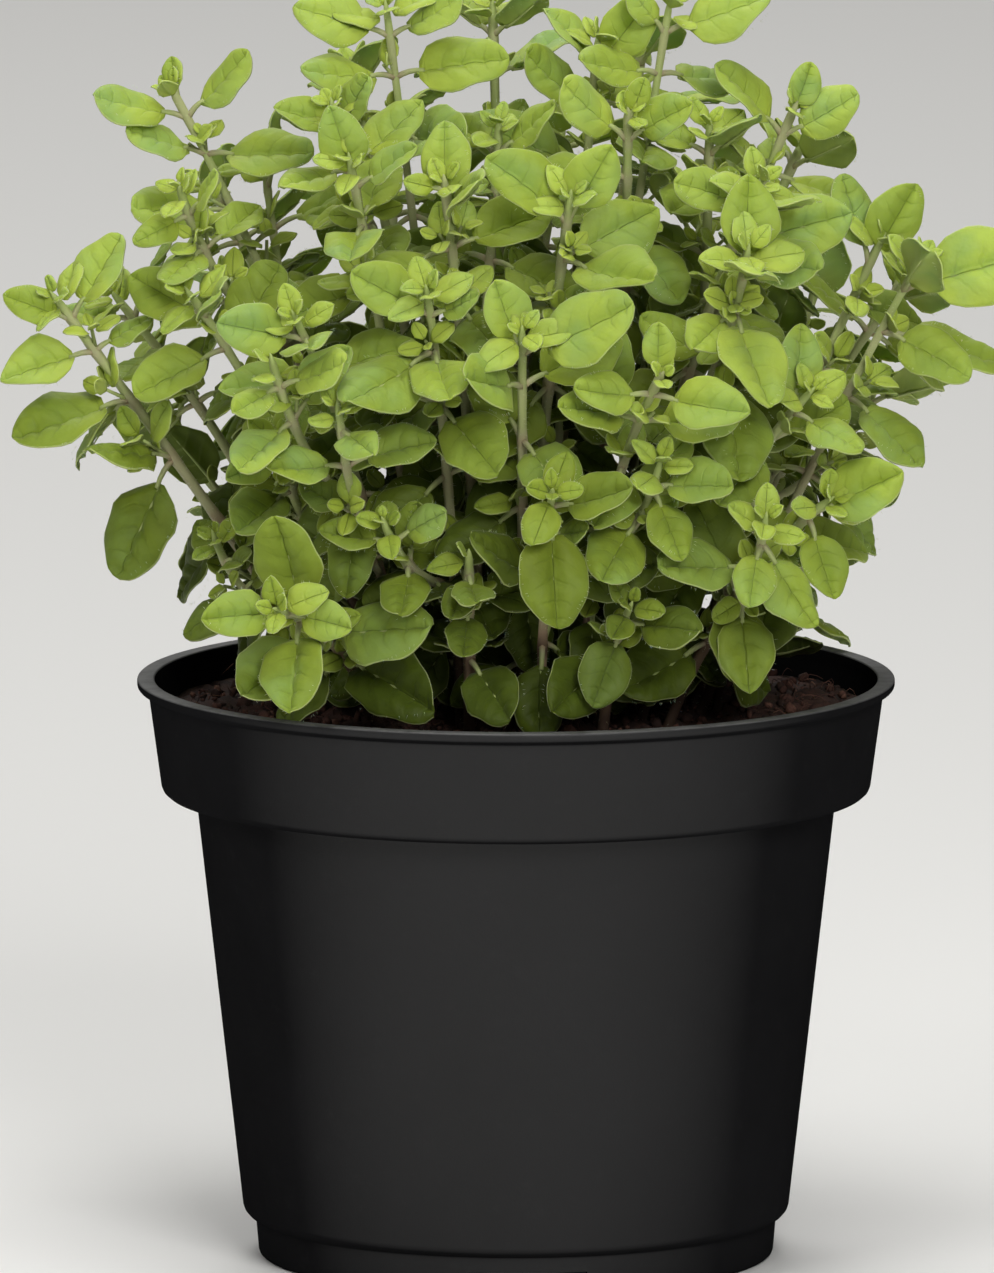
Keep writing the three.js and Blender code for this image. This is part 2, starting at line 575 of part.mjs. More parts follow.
// Every leaf that the shoots would like to grow, in the order of the list.
function wishes(shoots) {
  const wanted = [];
  for (const shoot of shoots)
    for (let order = 0; order < shoot.pairs; order++) {
      const { down, size, lift, hang } = PAIRS[order];
      const share = 1 - (down * (shoot.stretch ?? 1)) / shoot.curve.getLength();
      const turn = shoot.turn + 90 * order + wobble(TURN_SPREAD);
      for (const half of [0, 1]) {
        const leaf = {
          shoot,
          order,
          azimuth: radians(turn + 180 * half),
          lift: radians(lift + wobble(LIFT_SPREAD)),
          hang,
          length: shoot.blade * size * (1 + wobble(SIZE_SPREAD)),
          roll: radians(wobble(ROLL_SPREAD)),
          cup: CUP + wobble(CUP_SPREAD),
          curl: CURL + wobble(CURL_SPREAD) + CURL_HANGING * hang,
        };
        const place = shoot.reach?.[order]?.[half];
        leaf.placed = Boolean(place);
        if (share < LOWEST_LEAF || (order === 0 && !place)) continue;
        leaf.point = middleAt(shoot, share);
        leaf.tangent = shoot.curve.getTangentAt(share);
        if (place)
          Object.assign(leaf, towards(place, leaf.point, leaf.tangent, shoot.blade * LONGEST));
        wanted.push(leaf);
      }
    }
  return wanted;
}

// The leaves of the outline take their places first, and the others fill in between.
const STEM_SAMPLES = 60;
function growLeaves(shoots) {
  const stems = shoots.map((shoot) => {
    const points = [];
    for (let i = 0; i <= STEM_SAMPLES; i++) {
      const share = i / STEM_SAMPLES;
      const radius = lerp(shoot.radius, STEM_TIP_RADIUS, share);
      points.push({ point: middleAt(shoot, share), radius });
    }
    return { shoot, points };
  });
  const wanted = wishes(shoots);
  const leaves = [];
  for (const wish of [...wanted.filter((w) => w.placed), ...wanted.filter((w) => !w.placed)])
    for (const [yaw, pitch, share] of TRIES) {
      const leaf = poseLeaf(wish, radians(yaw), radians(pitch), share);
      if (hasRoom(leaf, leaves, stems)) {
        leaves.push(leaf);
        break;
      }
    }
  return leaves;
}

// ---- Solids of stems and leaves ----
// A bar with square sections about a row of middles, closed by a point; r is half a section's
// diagonal.
function squareBar(sections, end) {
  const points = [];
  const triangles = [];
  for (const { middle, first, second, corner, r } of sections)
    for (let j = 0; j < STEM_SIDES; j++) {
      const a = corner + (j * 2 * Math.PI) / STEM_SIDES;
      points.push(
        middle
          .clone()
          .addScaledVector(first, r * Math.cos(a))
          .addScaledVector(second, r * Math.sin(a)),
      );
    }
  for (let i = 0; i < sections.length - 1; i++)
    for (let j = 0; j < STEM_SIDES; j++) {
      const a = i * STEM_SIDES + j;
      const b = i * STEM_SIDES + ((j + 1) % STEM_SIDES);
      triangles.push(a, b, b + STEM_SIDES, a, b + STEM_SIDES, a + STEM_SIDES);
    }
  const top = (sections.length - 1) * STEM_SIDES;
  const point = points.length;
  points.push(end);
  triangles.push(0, 2, 1, 0, 3, 2);
  for (let j = 0; j < STEM_SIDES; j++)
    triangles.push(top + j, top + ((j + 1) % STEM_SIDES), point);
  return solidOf(faceted(points, triangles));
}

// The sections turn with the shoot, so that its leaves grow from the stem's flat sides.
function sectionsOf({ curve, radius, middles, turn }) {
  const steps = middles.length - 1;
  return middles.map((middle, i) => {
    const [first, second] = acrossStem(curve.getTangentAt(i / steps));
    const r = lerp(radius, STEM_TIP_RADIUS, i / steps);
    return { middle: middle.clone(), first, second, corner: radians(turn + 45), r };
  });
}

function stemSolid(shoot) {
  const bud = shoot.curve.getPoint(1).addScaledVector(shoot.curve.getTangent(1), BUD_LENGTH);
  return squareBar(sectionsOf(shoot), bud);
}

// The hole in the soil for a stem: its foot, a little wider and deeper.
function holeSolid(shoot) {
  const sections = sectionsOf(shoot).slice(0, 3);
  const [foot, next, last] = sections;
  const down = foot.middle.clone().sub(next.middle).normalize();
  foot.middle.addScaledVector(down, GAP);
  for (const section of sections) section.r += HOLE_MARGIN;
  return squareBar(sections, last.middle.clone().addScaledVector(UP, BUD_LENGTH));
}

// A blade with its stalk. The blade is a thin lens whose faces meet along the outline, and the
// stalk is a three-sided spike that starts past the stem's middle.
const BLADE_ROWS = [
  { below: 8.5, rows: [0.4] }, // where the outline's points lie along the rib of a short blade,
  { below: 13.5, rows: [0.24, 0.68] },
  { below: Infinity, rows: [0.13, 0.45, 0.8] }, // and of a long one
];
const RIB_U = 0.45;
const STALK_HALF_WIDTH = 0.75; // where it meets the blade
const STALK_HEIGHT = 1.1;
const STALK_SUNK = 0.45; // length beyond the stem's middle
function leafSolid(leaf) {
  const beside = (v) => leaf.base.clone().addScaledVector(leaf.side, v * STALK_HALF_WIDTH);
  const above = (point, height) => point.clone().addScaledVector(leaf.face, height);
  const { rows } = BLADE_ROWS.find(({ below }) => leaf.length < below);
  const edge = (v) => rows.map((u) => onBlade(leaf, u, v));
  const rib = onBlade(leaf, RIB_U, 0);
  const rim = [beside(-1), ...edge(-1), onBlade(leaf, 1, 0), ...edge(1).reverse(), beside(1)];
  const points = [
    ...rim,
    above(leaf.base, STALK_HEIGHT),
    above(rib, RIB_THICKNESS / 2),
    above(rib, -RIB_THICKNESS / 2),
    leaf.point.clone().addScaledVector(leaf.along, -STALK_SUNK),
  ];
  const end = rim.length - 1;
  const [ridge, over, under, start] = [1, 2, 3, 4].map((i) => end + i);
  const triangles = [
    ...[start, 0, end, start, ridge, 0, start, end, ridge],
    ...[ridge, 1, 0, ridge, end, end - 1, ridge, over, 1, ridge, end - 1, over, under, end, 0],
  ];
  for (let i = 0; i < end; i++) triangles.push(under, i, i + 1);
  for (let i = 1; i < end - 1; i++) triangles.push(over, i + 1, i);
  return solidOf(faceted(points, triangles));
}

// ---- The whole plant ----
const group = new THREE.Group();

function addMesh(name, solid, look) {
  const mesh = new THREE.Mesh(geometryOf(solid), look);
  mesh.name = name;
  group.add(mesh);
}

const shoots = plan();
const leaves = growLeaves(shoots);

let soil = makeSoil();
for (const shoot of shoots.filter((s) => s.root)) soil = soil.subtract(holeSolid(shoot));

addMesh("pot", makePot(), POT_PLASTIC);
addMesh("soil", soil, PEAT);
for (const name of new Set(shoots.map((s) => s.name))) {
  const stalks = shoots.filter((s) => s.name === name).map(stemSolid);
  const blades = leaves.filter((l) => l.shoot.name === name).map(leafSolid);
  addMesh(name, wasm.Manifold.union([...stalks, ...blades]), LEAF);
}

export default group;
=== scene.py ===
# %% [markdown]
# # A pot of oregano
# A plain, faceted model of a potted herb is loaded as a fixed frame. This lesson replaces each of
# its pieces with a finer one that keeps its place and form: a moulded plastic pot, crumbly peat,
# and stems whose leaves grow by a rule. All lengths below are in millimetres, and the finished
# meshes are scaled to metres at the very end, because Blender's unit is the metre.

# %% Load the plain model
import math
import random

import bmesh
import bpy
import numpy as np
from mathutils import Matrix, Vector, noise


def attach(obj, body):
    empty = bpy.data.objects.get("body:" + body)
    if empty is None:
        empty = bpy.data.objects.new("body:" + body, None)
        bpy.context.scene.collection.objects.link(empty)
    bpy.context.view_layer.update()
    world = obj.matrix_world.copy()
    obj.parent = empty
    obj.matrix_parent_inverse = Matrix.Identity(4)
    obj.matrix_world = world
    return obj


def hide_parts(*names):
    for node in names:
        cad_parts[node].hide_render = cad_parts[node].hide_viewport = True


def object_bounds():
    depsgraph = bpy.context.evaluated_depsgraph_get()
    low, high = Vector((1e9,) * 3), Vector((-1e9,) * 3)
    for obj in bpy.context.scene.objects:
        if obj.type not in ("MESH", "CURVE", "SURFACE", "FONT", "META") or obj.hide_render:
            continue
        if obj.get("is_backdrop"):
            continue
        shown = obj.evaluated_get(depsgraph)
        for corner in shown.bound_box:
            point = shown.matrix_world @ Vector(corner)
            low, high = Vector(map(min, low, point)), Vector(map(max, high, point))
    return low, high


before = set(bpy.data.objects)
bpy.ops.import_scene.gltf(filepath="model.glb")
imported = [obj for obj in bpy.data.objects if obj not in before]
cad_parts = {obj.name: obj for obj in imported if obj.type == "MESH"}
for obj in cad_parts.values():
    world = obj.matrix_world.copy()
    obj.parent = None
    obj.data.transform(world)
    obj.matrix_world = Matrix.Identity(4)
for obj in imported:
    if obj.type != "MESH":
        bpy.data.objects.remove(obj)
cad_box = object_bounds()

MM = 0.001
NODES = sorted(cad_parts)
print("plain nodes:", len(NODES), "box:", [[round(c, 4) for c in corner] for corner in cad_box])

# %% [markdown]
# ## The camera
# A long lens from four metres away flattens perspective, as a product picture does. It looks down
# by 8.5 degrees. The lens length follows from how many millimetres the picture's height shows.

# %% Camera
PICTURE_HEIGHT, PIXELS_PER_MM = 1273, 5.83  # the height is in pixels
LOOK_DOWN = math.radians(8.5)
AIM = Vector((-3.26, 0, 107.0))  # what the middle of the picture shows
CAMERA_DISTANCE = 4000
FARTHEST_SEEN = 100  # metres

camera = bpy.data.objects.new("camera", bpy.data.cameras.new("camera"))
bpy.context.scene.collection.objects.link(camera)
camera.data.sensor_fit = "VERTICAL"
seen_height = PICTURE_HEIGHT / PIXELS_PER_MM
camera.data.lens = camera.data.sensor_height * CAMERA_DISTANCE / seen_height
camera.data.clip_end = FARTHEST_SEEN
backwards = Vector((0, -math.cos(LOOK_DOWN), math.sin(LOOK_DOWN)))
camera.location = (AIM + backwards * CAMERA_DISTANCE) * MM
camera.rotation_euler = (math.pi / 2 - LOOK_DOWN, 0, 0)
bpy.context.scene.camera = camera
print("lens", round(camera.data.lens, 1), "mm for", round(seen_height, 1), "mm of height")

# %% [markdown]
# ## Floor and light
# A plain pale floor and big soft lamps keep the attention on the plant. The main lamp stands in
# front, a little to the right and above, which gives the pot its broad soft sheen. A weak one fills
# the shade from the left, one overhead brightens the upper leaves, and the largest, behind, lights
# the floor and the edges of the leaves.

# %% Floor, lamps and surrounding light
FLOOR_COLOUR, FLOOR_ROUGHNESS = (0.8, 0.8, 0.79, 1), 0.8
FLOOR_SIZE = 40  # metres
SURROUND, SURROUND_STRENGTH = (1.0, 0.99, 0.96, 1), 0.17
LAMP_COLOUR = (1.0, 0.99, 0.97)
LAMPS = {  # place and size in metres, watts
    "front_lamp": ((0.42, -1.5, 0.95), 0.7, 16.8),
    "left_lamp": ((-1.0, -1.1, 1.1), 0.6, 5.5),
    "back_lamp": ((-0.3, 1.7, 2.0), 1.4, 22),
    "top_lamp": ((0.0, -0.25, 1.5), 0.7, 10),
}
LIT_PLACE = Vector((0, 0, 0.12))  # metres

floor_mesh = bpy.data.meshes.new("floor")
shape = bmesh.new()
bmesh.ops.create_grid(shape, x_segments=1, y_segments=1, size=FLOOR_SIZE / 2)
shape.to_mesh(floor_mesh)
shape.free()
floor = bpy.data.objects.new("floor", floor_mesh)
bpy.context.scene.collection.objects.link(floor)
floor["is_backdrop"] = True

floor_finish = bpy.data.materials.new("pale_floor")
floor_finish.use_nodes = True
floor_shader = floor_finish.node_tree.nodes["Principled BSDF"]
floor_shader.inputs["Base Color"].default_value = FLOOR_COLOUR
floor_shader.inputs["Roughness"].default_value = FLOOR_ROUGHNESS
floor_mesh.materials.append(floor_finish)

for name, (place, size, watts) in LAMPS.items():
    lamp_data = bpy.data.lights.new(name, "AREA")
    lamp_data.size = size
    lamp_data.energy = watts
    lamp_data.color = LAMP_COLOUR
    lamp = bpy.data.objects.new(name, lamp_data)
    lamp.location = place
    lamp.rotation_euler = (LIT_PLACE - Vector(place)).to_track_quat("-Z", "Y").to_euler()
    bpy.context.scene.collection.objects.link(lamp)

world = bpy.data.worlds.new("studio")
bpy.context.scene.world = world
world.use_nodes = True
background = world.node_tree.nodes["Background"]
background.inputs["Color"].default_value = SURROUND
background.inputs["Strength"].default_value = SURROUND_STRENGTH
bpy.context.scene.view_settings.view_transform = "Standard"
print("lamps:", ", ".join(LAMPS))

# %% [markdown]
# ## Finishes
# A finish is a small network of nodes that ends in one shader. The helper below adds a node, sets
# its values and joins its inputs in one call, so that the networks can be read from top to bottom.
# Values that are the same all over a surface are set on the shader itself.

# %% Helpers for finishes
class Finish:
    """A material whose nodes are added one call at a time."""

    def __init__(self, name, **shader_values):
        self.material = bpy.data.materials.new(name)
        self.material.use_nodes = True
        self.tree = self.material.node_tree
        self.shader = self.tree.nodes["Principled BSDF"]
        for key, value in shader_values.items():
            self.socket(key).default_value = value

    def socket(self, key):
        """The shader's input with this name, written with underscores."""
        return self.shader.inputs[key.replace("_", " ").title().replace("Ior", "IOR")]

    def add(self, kind, values=None, out=0, **settings):
        """Adds a node; values fill its inputs, and a value that is a socket is joined to it."""
        node = self.tree.nodes.new(kind)
        for key, value in settings.items():
            setattr(node, key, value)
        for key, value in (values or {}).items():
            if isinstance(value, bpy.types.NodeSocket):
                self.tree.links.new(value, node.inputs[key])
            else:
                node.inputs[key].default_value = value
        return node.outputs[out]

    def math(self, operation, a, b=0.0, c=0.0):
        return self.add("ShaderNodeMath", {0: a, 1: b, 2: c}, operation=operation)

    def mix(self, share, colour, other):
        """A colour changed towards another, plain one by a share."""
        values = {"Factor": share, 6: colour, 7: (*other, 1)}
        return self.add("ShaderNodeMix", values, out=2, data_type="RGBA")

    def parts(self, vector):
        """A vector's numbers along x, y and z."""
        return self.add("ShaderNodeSeparateXYZ", {0: vector}).node.outputs

    def ramp(self, share, stops):
        """Colours at places from 0 to 1, with smooth steps between them."""
        node = self.tree.nodes.new("ShaderNodeValToRGB")
        self.tree.links.new(share, node.inputs["Fac"])
        elements = node.color_ramp.elements
        while len(elements) < len(stops):
            elements.new(0.5)
        for element, (place, colour) in zip(elements, stops):
            element.position = place
            element.color = (*colour, 1)
        return node.outputs["Color"]

    def step(self, value, low, high, to_low=0.0, to_high=1.0):
        """A smooth step from one number to another while value goes from low to high."""
        values = {0: value, 1: low, 2: high, 3: to_low, 4: to_high}
        return self.add("ShaderNodeMapRange", values, interpolation_type="SMOOTHSTEP")

    def noise(self, scale, detail, roughness):
        values = {"Vector": self.place(), "Scale": scale, "Detail": detail, "Roughness": roughness}
        return self.add("ShaderNodeTexNoise", values)

    def place(self):
        return self.add("ShaderNodeTexCoord", out="Object")

    def attribute(self, name):
        return self.add("ShaderNodeAttribute", out="Fac", attribute_name=name)

    def bump(self, height, strength, distance, normal=None):
        values = {"Height": height, "Strength": strength, "Distance": distance}
        if normal:
            values["Normal"] = normal
        return self.add("ShaderNodeBump", values)

    def to_shader(self, **sockets):
        for key, socket in sockets.items():
            self.tree.links.new(socket, self.socket(key))
        return self.material


# %% [markdown]
# ### Pot plastic
# Cheap nursery pots are moulded from recycled black plastic. The surface is matt, with a fine grain
# from the mould, faint cloudy patches where it cooled unevenly, and a little pale dust of dried
# water. A rough surface like this loses its sheen where it turns away, so the gloss is strong only
# on what faces the eye. A Layer Weight node gives that. The top of the lip is glossier, and a
# painted highlight makes its colour paler there.

# %% Finish of the pot
# Heights where the lip top begins and is full: it is glossier there, and painted paler as a painted
# highlight
LIP_TOP_FROM, LIP_TOP_FULL = 0.0997, 0.09999  # heights in metres
pot_finish = Finish("pot_plastic", specular_ior_level=0.15)
clouds = pot_finish.noise(28, 4, 0.6)
grain = pot_finish.noise(2600, 2, 0.5)
scuffs = pot_finish.noise(240, 5, 0.7)
plastic = pot_finish.ramp(clouds, [(0.3, (0.008, 0.008, 0.0086)), (0.75, (0.0115, 0.0115, 0.0123))])
dusty = pot_finish.step(scuffs, 0.55, 0.8, 0, 0.05)
plastic = pot_finish.mix(dusty, plastic, (0.065, 0.064, 0.063))
height = pot_finish.parts(pot_finish.place())[2]
lip_top = pot_finish.step(height, LIP_TOP_FROM, LIP_TOP_FULL)
# A painted highlight: the colour turns paler along the top of the lip, in broken patches
painted_lip_highlight = pot_finish.math("MULTIPLY", lip_top, pot_finish.step(scuffs, 0.3, 0.6, 0.35, 0.8))
plastic = pot_finish.mix(painted_lip_highlight, plastic, (0.13, 0.13, 0.132))
roughness = pot_finish.step(clouds, 0.3, 0.8, 0.46, 0.54)
facing = pot_finish.add("ShaderNodeLayerWeight", {"Blend": 0.5}, out="Facing")
gloss = pot_finish.math("MAXIMUM", pot_finish.step(facing, 0.04, 0.45, 0.305, 0),
                        pot_finish.math("MULTIPLY", lip_top, 0.4))
relief = pot_finish.bump(grain, 0.25, 0.00008)
relief = pot_finish.bump(scuffs, 0.12, 0.0003, relief)
pot_plastic = pot_finish.to_shader(base_color=plastic, roughness=roughness, normal=relief,
                                   specular_ior_level=gloss)

# %% [markdown]
# ### Peat
# Moist peat is a mass of dark crumbs and reddish fibres. A ramp over two sizes of noise gives the
# crumbs their colours, and each loose crumb carries a tone of its own as an attribute.

# %% Finish of the peat
peat_finish = Finish("peat", roughness=0.85, specular_ior_level=0.35)
clods = peat_finish.noise(420, 6, 0.75)
tone = peat_finish.attribute("tone")
shade = peat_finish.math("MULTIPLY_ADD", tone, 0.55, peat_finish.math("MULTIPLY", clods, 0.6))
earth = peat_finish.ramp(shade, [
    (0.25, (0.007, 0.004, 0.003)), (0.48, (0.028, 0.013, 0.009)),
    (0.72, (0.080, 0.033, 0.023)), (0.97, (0.23, 0.12, 0.08)),
])
crumbly = peat_finish.bump(peat_finish.noise(1500, 4, 0.7), 0.6, 0.0005)
peat = peat_finish.to_shader(base_color=earth, normal=crumbly)

# %% [markdown]
# ### Leaves
# Each blade carries a map of itself: across runs from one edge to the other, and along follows the
# side veins, so a vein is a straight line in that map. Three masks come from it: the rib, the side
# veins and the edge. Between the veins the blade puffs up softly, which a low relief from noise
# gives. The tone attribute says how old the leaf is and carries painted light and shade from where
# it grows, from dark and dull to the yellow green of the tips, where the veins hardly show, and the
# cast attribute how cool its green is. On the upper side the rib and veins are painted darker, as
# painted shade in their grooves. Light shines a little way through.

# %% Finish of the leaves
VEINS = 5  # side veins on each half
VEIN_PLACE = 1 / 3  # where a vein lies in its share of the map


def leaf_finish(name, colours, vein_shade_and_colour, edge_colour, line_share, relief_strength, roughness):
    """The finish of a leaf's upper side or underside."""
    finish = Finish(name, specular_ior_level=0.16, roughness=roughness, sheen_weight=0.05,
                    sheen_roughness=0.45, subsurface_weight=0.4, subsurface_scale=0.0007,
                    subsurface_radius=(0.9, 1.0, 0.15))
    across, along, _ = finish.parts(finish.add("ShaderNodeUVMap", uv_map="blade"))
    across = finish.math("ABSOLUTE", finish.math("MULTIPLY_ADD", across, 2.0, -1.0))
    wander = finish.math("MULTIPLY_ADD", finish.noise(300, 2, 0.5), 0.5, -0.25)
    rib = finish.step(across, 0.0, 0.06, 1, 0)
    count = finish.math("MULTIPLY_ADD", along, float(VEINS), wander)
    from_vein = finish.math("SUBTRACT", finish.math("FRACT", count), VEIN_PLACE)
    vein = finish.step(finish.math("ABSOLUTE", from_vein), 0.0, 0.13, 1, 0)
    vein = finish.math("MULTIPLY", vein, finish.step(across, 0.2, 0.8, 1, 0))
    tone = finish.attribute("tone")
    puffs = finish.noise(430, 2, 0.5)
    blotches = finish.math("MULTIPLY_ADD", finish.noise(240, 3, 0.6), 0.24, -0.12)
    shade = finish.math("ADD", tone, blotches)
    colour = finish.ramp(shade, colours)
    patchy = finish.step(finish.noise(110, 2, 0.5), 0.35, 0.7)
    cool = finish.math("MULTIPLY", patchy, finish.attribute("cast"))
    cool = finish.math("MULTIPLY", cool, finish.math("MULTIPLY", tone, 1.2))
    colour = finish.mix(cool, colour, (0.24, 0.37, 0.11))
    # The foot of the blade turns yellow green: partly the young leaf's own colour, and partly a
    # painted glow of light shining through, stronger on paler leaves
    yellow_base_and_glow = finish.math("MULTIPLY", finish.step(along, 0.0, 0.45, 0.3, 0), tone)
    colour = finish.mix(yellow_base_and_glow, colour, (0.40, 0.44, 0.035))
    # On the upper side the darker rib and veins are painted shade in their grooves; on the underside
    # the paler colour is that of the raised veins
    lines = finish.math("MAXIMUM", finish.math("MULTIPLY", vein, 0.6), rib)
    plain = finish.math("MULTIPLY_ADD", tone, -0.8 * line_share, line_share)
    colour = finish.mix(finish.math("MULTIPLY", lines, plain), colour, vein_shade_and_colour)
    # A paler rim: partly the pale hairs along the edge, and partly painted light shining through it
    edge = finish.step(across, 0.93, 1.0, 0, 0.5)
    colour = finish.mix(edge, colour, edge_colour)
    height = finish.math("MULTIPLY_ADD", finish.noise(1300, 3, 0.6), 0.2, lines)
    height = finish.math("MULTIPLY_ADD", puffs, -1.5, height)
    relief = finish.bump(height, relief_strength, -0.0002)
    return finish.to_shader(base_color=colour, normal=relief)


UPPER_COLOURS = [
    (0.05, (0.056, 0.082, 0.005)), (0.35, (0.140, 0.190, 0.016)),
    (0.65, (0.245, 0.328, 0.038)), (0.95, (0.380, 0.490, 0.082)),
]
UNDER_COLOURS = [
    (0.05, (0.082, 0.115, 0.018)), (0.50, (0.185, 0.240, 0.050)), (0.95, (0.330, 0.400, 0.115)),
]
# Upper side: rib and veins painted darker, as painted shade. Underside: paler raised veins.
leaf_upper = leaf_finish("leaf_upper", UPPER_COLOURS, (0.07, 0.11, 0.008), (0.52, 0.59, 0.27),
                         line_share=0.35, relief_strength=0.85, roughness=0.55)
leaf_under = leaf_finish("leaf_under", UNDER_COLOURS, (0.40, 0.46, 0.15), (0.50, 0.57, 0.25),
                         line_share=0.4, relief_strength=-0.6, roughness=0.65)

# %% [markdown]
# ### Stems and hairs
# Young stems are pale green, and old ones turn pinkish brown towards their feet and at the nodes.
# The tone attribute carries that, and painted shade that darkens them low over the soil. The fine
# hairs that cover them are nearly white.

# %% Finish of stems and hairs
stem_finish = Finish("stem", roughness=0.6, specular_ior_level=0.3, subsurface_weight=0.1,
                     subsurface_scale=0.001, subsurface_radius=(0.6, 0.8, 0.3))
patches = stem_finish.noise(160, 3, 0.6)
age_and_shade = stem_finish.math("ADD", stem_finish.attribute("tone"), -0.14)
age_and_shade = stem_finish.math("MULTIPLY_ADD", patches, 0.28, age_and_shade)
# The dark colours at the end of the ramp carry both old stem feet and painted shade near the soil
bark = stem_finish.ramp(age_and_shade, [
    (0.05, (0.33, 0.40, 0.13)), (0.32, (0.36, 0.36, 0.19)), (0.60, (0.35, 0.25, 0.16)),
    (0.80, (0.13, 0.085, 0.05)), (0.95, (0.05, 0.03, 0.02)),
])
furrows = stem_finish.bump(stem_finish.noise(1400, 3, 0.6), 0.4, 0.0003)
stem_skin = stem_finish.to_shader(base_color=bark, normal=furrows)

hair_finish = Finish("hair", roughness=0.45, subsurface_weight=0.3, subsurface_scale=0.0005)
HAIR_COLOURS = [(0, (0.5, 0.55, 0.35)), (1, (0.8, 0.85, 0.6))]
down = hair_finish.ramp(hair_finish.attribute("tone"), HAIR_COLOURS)
hair = hair_finish.to_shader(base_color=down)
print("finishes:", ", ".join(sorted(m.name for m in bpy.data.materials)))

# %% [markdown]
# ## The pot
# The pot is round, so half its section is drawn once, as a few corners joined by edges, and spun
# round the upright axis. The corners are then bevelled all the way round, as a mould rounds them.

# %% Section of the pot
POT_STEPS = 144
SAME_PLACE, NEARBY = 0.001, 0.01  # how far apart two points may be and still count as one
WALL = 1.1
LIP_RADIUS, BAND_TOP_RADIUS, BAND_FOOT_RADIUS = 65, 63.1, 60.7
BODY_TOP_RADIUS, BODY_FOOT_RADIUS = 55, 46.8
FOOT_TOP_RADIUS, FOOT_RADIUS = 44.8, 44.2
POT_HEIGHT, BAND_FOOT_HEIGHT, STEP_HEIGHT, BASE_HEIGHT = 100, 80.3, 6.8, 4
POT_CORNERS = [  # radius, height, rounding
    (0, BASE_HEIGHT, 0),
    (FOOT_RADIUS - 4.4, BASE_HEIGHT, 0.8),
    (FOOT_RADIUS - 3, 0, 0.3),
    (FOOT_RADIUS, 0, 0.9),
    (FOOT_TOP_RADIUS, STEP_HEIGHT, 0.4),
    (BODY_FOOT_RADIUS, STEP_HEIGHT + 0.5, 1.4),
    (BODY_TOP_RADIUS, BAND_FOOT_HEIGHT, 0.5),
    (BAND_FOOT_RADIUS, BAND_FOOT_HEIGHT, 1.3),
    (BAND_TOP_RADIUS, 97.9, 0.4),
    (LIP_RADIUS, 98.5, 0.5),
    (LIP_RADIUS, POT_HEIGHT, 0.35),
    (BAND_TOP_RADIUS - WALL, POT_HEIGHT, 0.35),
    (BAND_TOP_RADIUS - WALL, 97.5, 0.6),
    (BAND_FOOT_RADIUS - WALL, BAND_FOOT_HEIGHT + WALL, 1.2),
    (BODY_TOP_RADIUS - WALL, BAND_FOOT_HEIGHT + WALL, 0.6),
    (BODY_FOOT_RADIUS - WALL, STEP_HEIGHT + 0.5 + WALL, 0.5),
    (FOOT_TOP_RADIUS - WALL, STEP_HEIGHT + WALL, 0.4),
    (FOOT_TOP_RADIUS - WALL, BASE_HEIGHT + WALL, 0.8),
    (0, BASE_HEIGHT + WALL, 0),
]


def round_edges(body, edges, width, segments):
    bmesh.ops.bevel(
        body, geom=edges, offset=width, offset_type="OFFSET", segments=segments, profile=0.5,
        affect="EDGES", material=-1, clamp_overlap=True,
    )


def upright(edges, least):
    """The edges whose ends differ in height by more than the least amount."""
    return [e for e in edges if abs(e.verts[0].co.z - e.verts[1].co.z) > least]


def on_ring(vert, r, z):
    return abs(math.hypot(vert.co.x, vert.co.y) - r) < NEARBY and abs(vert.co.z - z) < NEARBY


def spun(corners, steps):
    """A closed round body from the corners of half its section."""
    body = bmesh.new()
    verts = [body.verts.new((r, 0, z)) for r, z, rounding in corners]
    edges = [body.edges.new(pair) for pair in zip(verts, verts[1:])]
    bmesh.ops.spin(
        body, geom=verts + edges, axis=(0, 0, 1), cent=(0, 0, 0), steps=steps,
        angle=2 * math.pi, use_merge=True,
    )
    bmesh.ops.remove_doubles(body, verts=body.verts[:], dist=SAME_PLACE)
    for r, z, rounding in corners:
        if rounding:
            ring = [e for e in body.edges if all(on_ring(v, r, z) for v in e.verts)]
            round_edges(body, ring, rounding, 3)
    bmesh.ops.recalc_face_normals(body, faces=body.faces[:])
    return body


def finished(name, mesh, materials, nodes, sharp_from=None):
    """The last steps of every piece: metres, smooth shading, finishes, and what it stands for."""
    mesh.name = name
    mesh.transform(Matrix.Scale(MM, 4))
    mesh.polygons.foreach_set("use_smooth", [True] * len(mesh.polygons))
    if sharp_from:
        mesh.set_sharp_from_angle(angle=sharp_from)
    for material in materials:
        mesh.materials.append(material)
    piece = bpy.data.objects.new(name, mesh)
    bpy.context.scene.collection.objects.link(piece)
    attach(piece, "root")
    if nodes:
        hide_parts(*nodes)
    return piece


def triangle_count(mesh):
    return sum(len(p.vertices) - 2 for p in mesh.polygons)


# %% [markdown]
# Three notches in the foot let water run away, and a drain slot opens beside each of them. They are
# cut with blocks, by a Boolean modifier that is applied at once.

# %% Notches and drain slots
NOTCHES, NOTCH_TURN = 3, 2.8  # the turn in degrees
NOTCH_WIDTH, NOTCH_REACH = 20, 8
DRAIN_WIDTH, DRAIN_INNER, DRAIN_OUTER = 7, 27, 38
BLOCK_ROUNDING, SHARP_FROM = 0.6, math.radians(40)


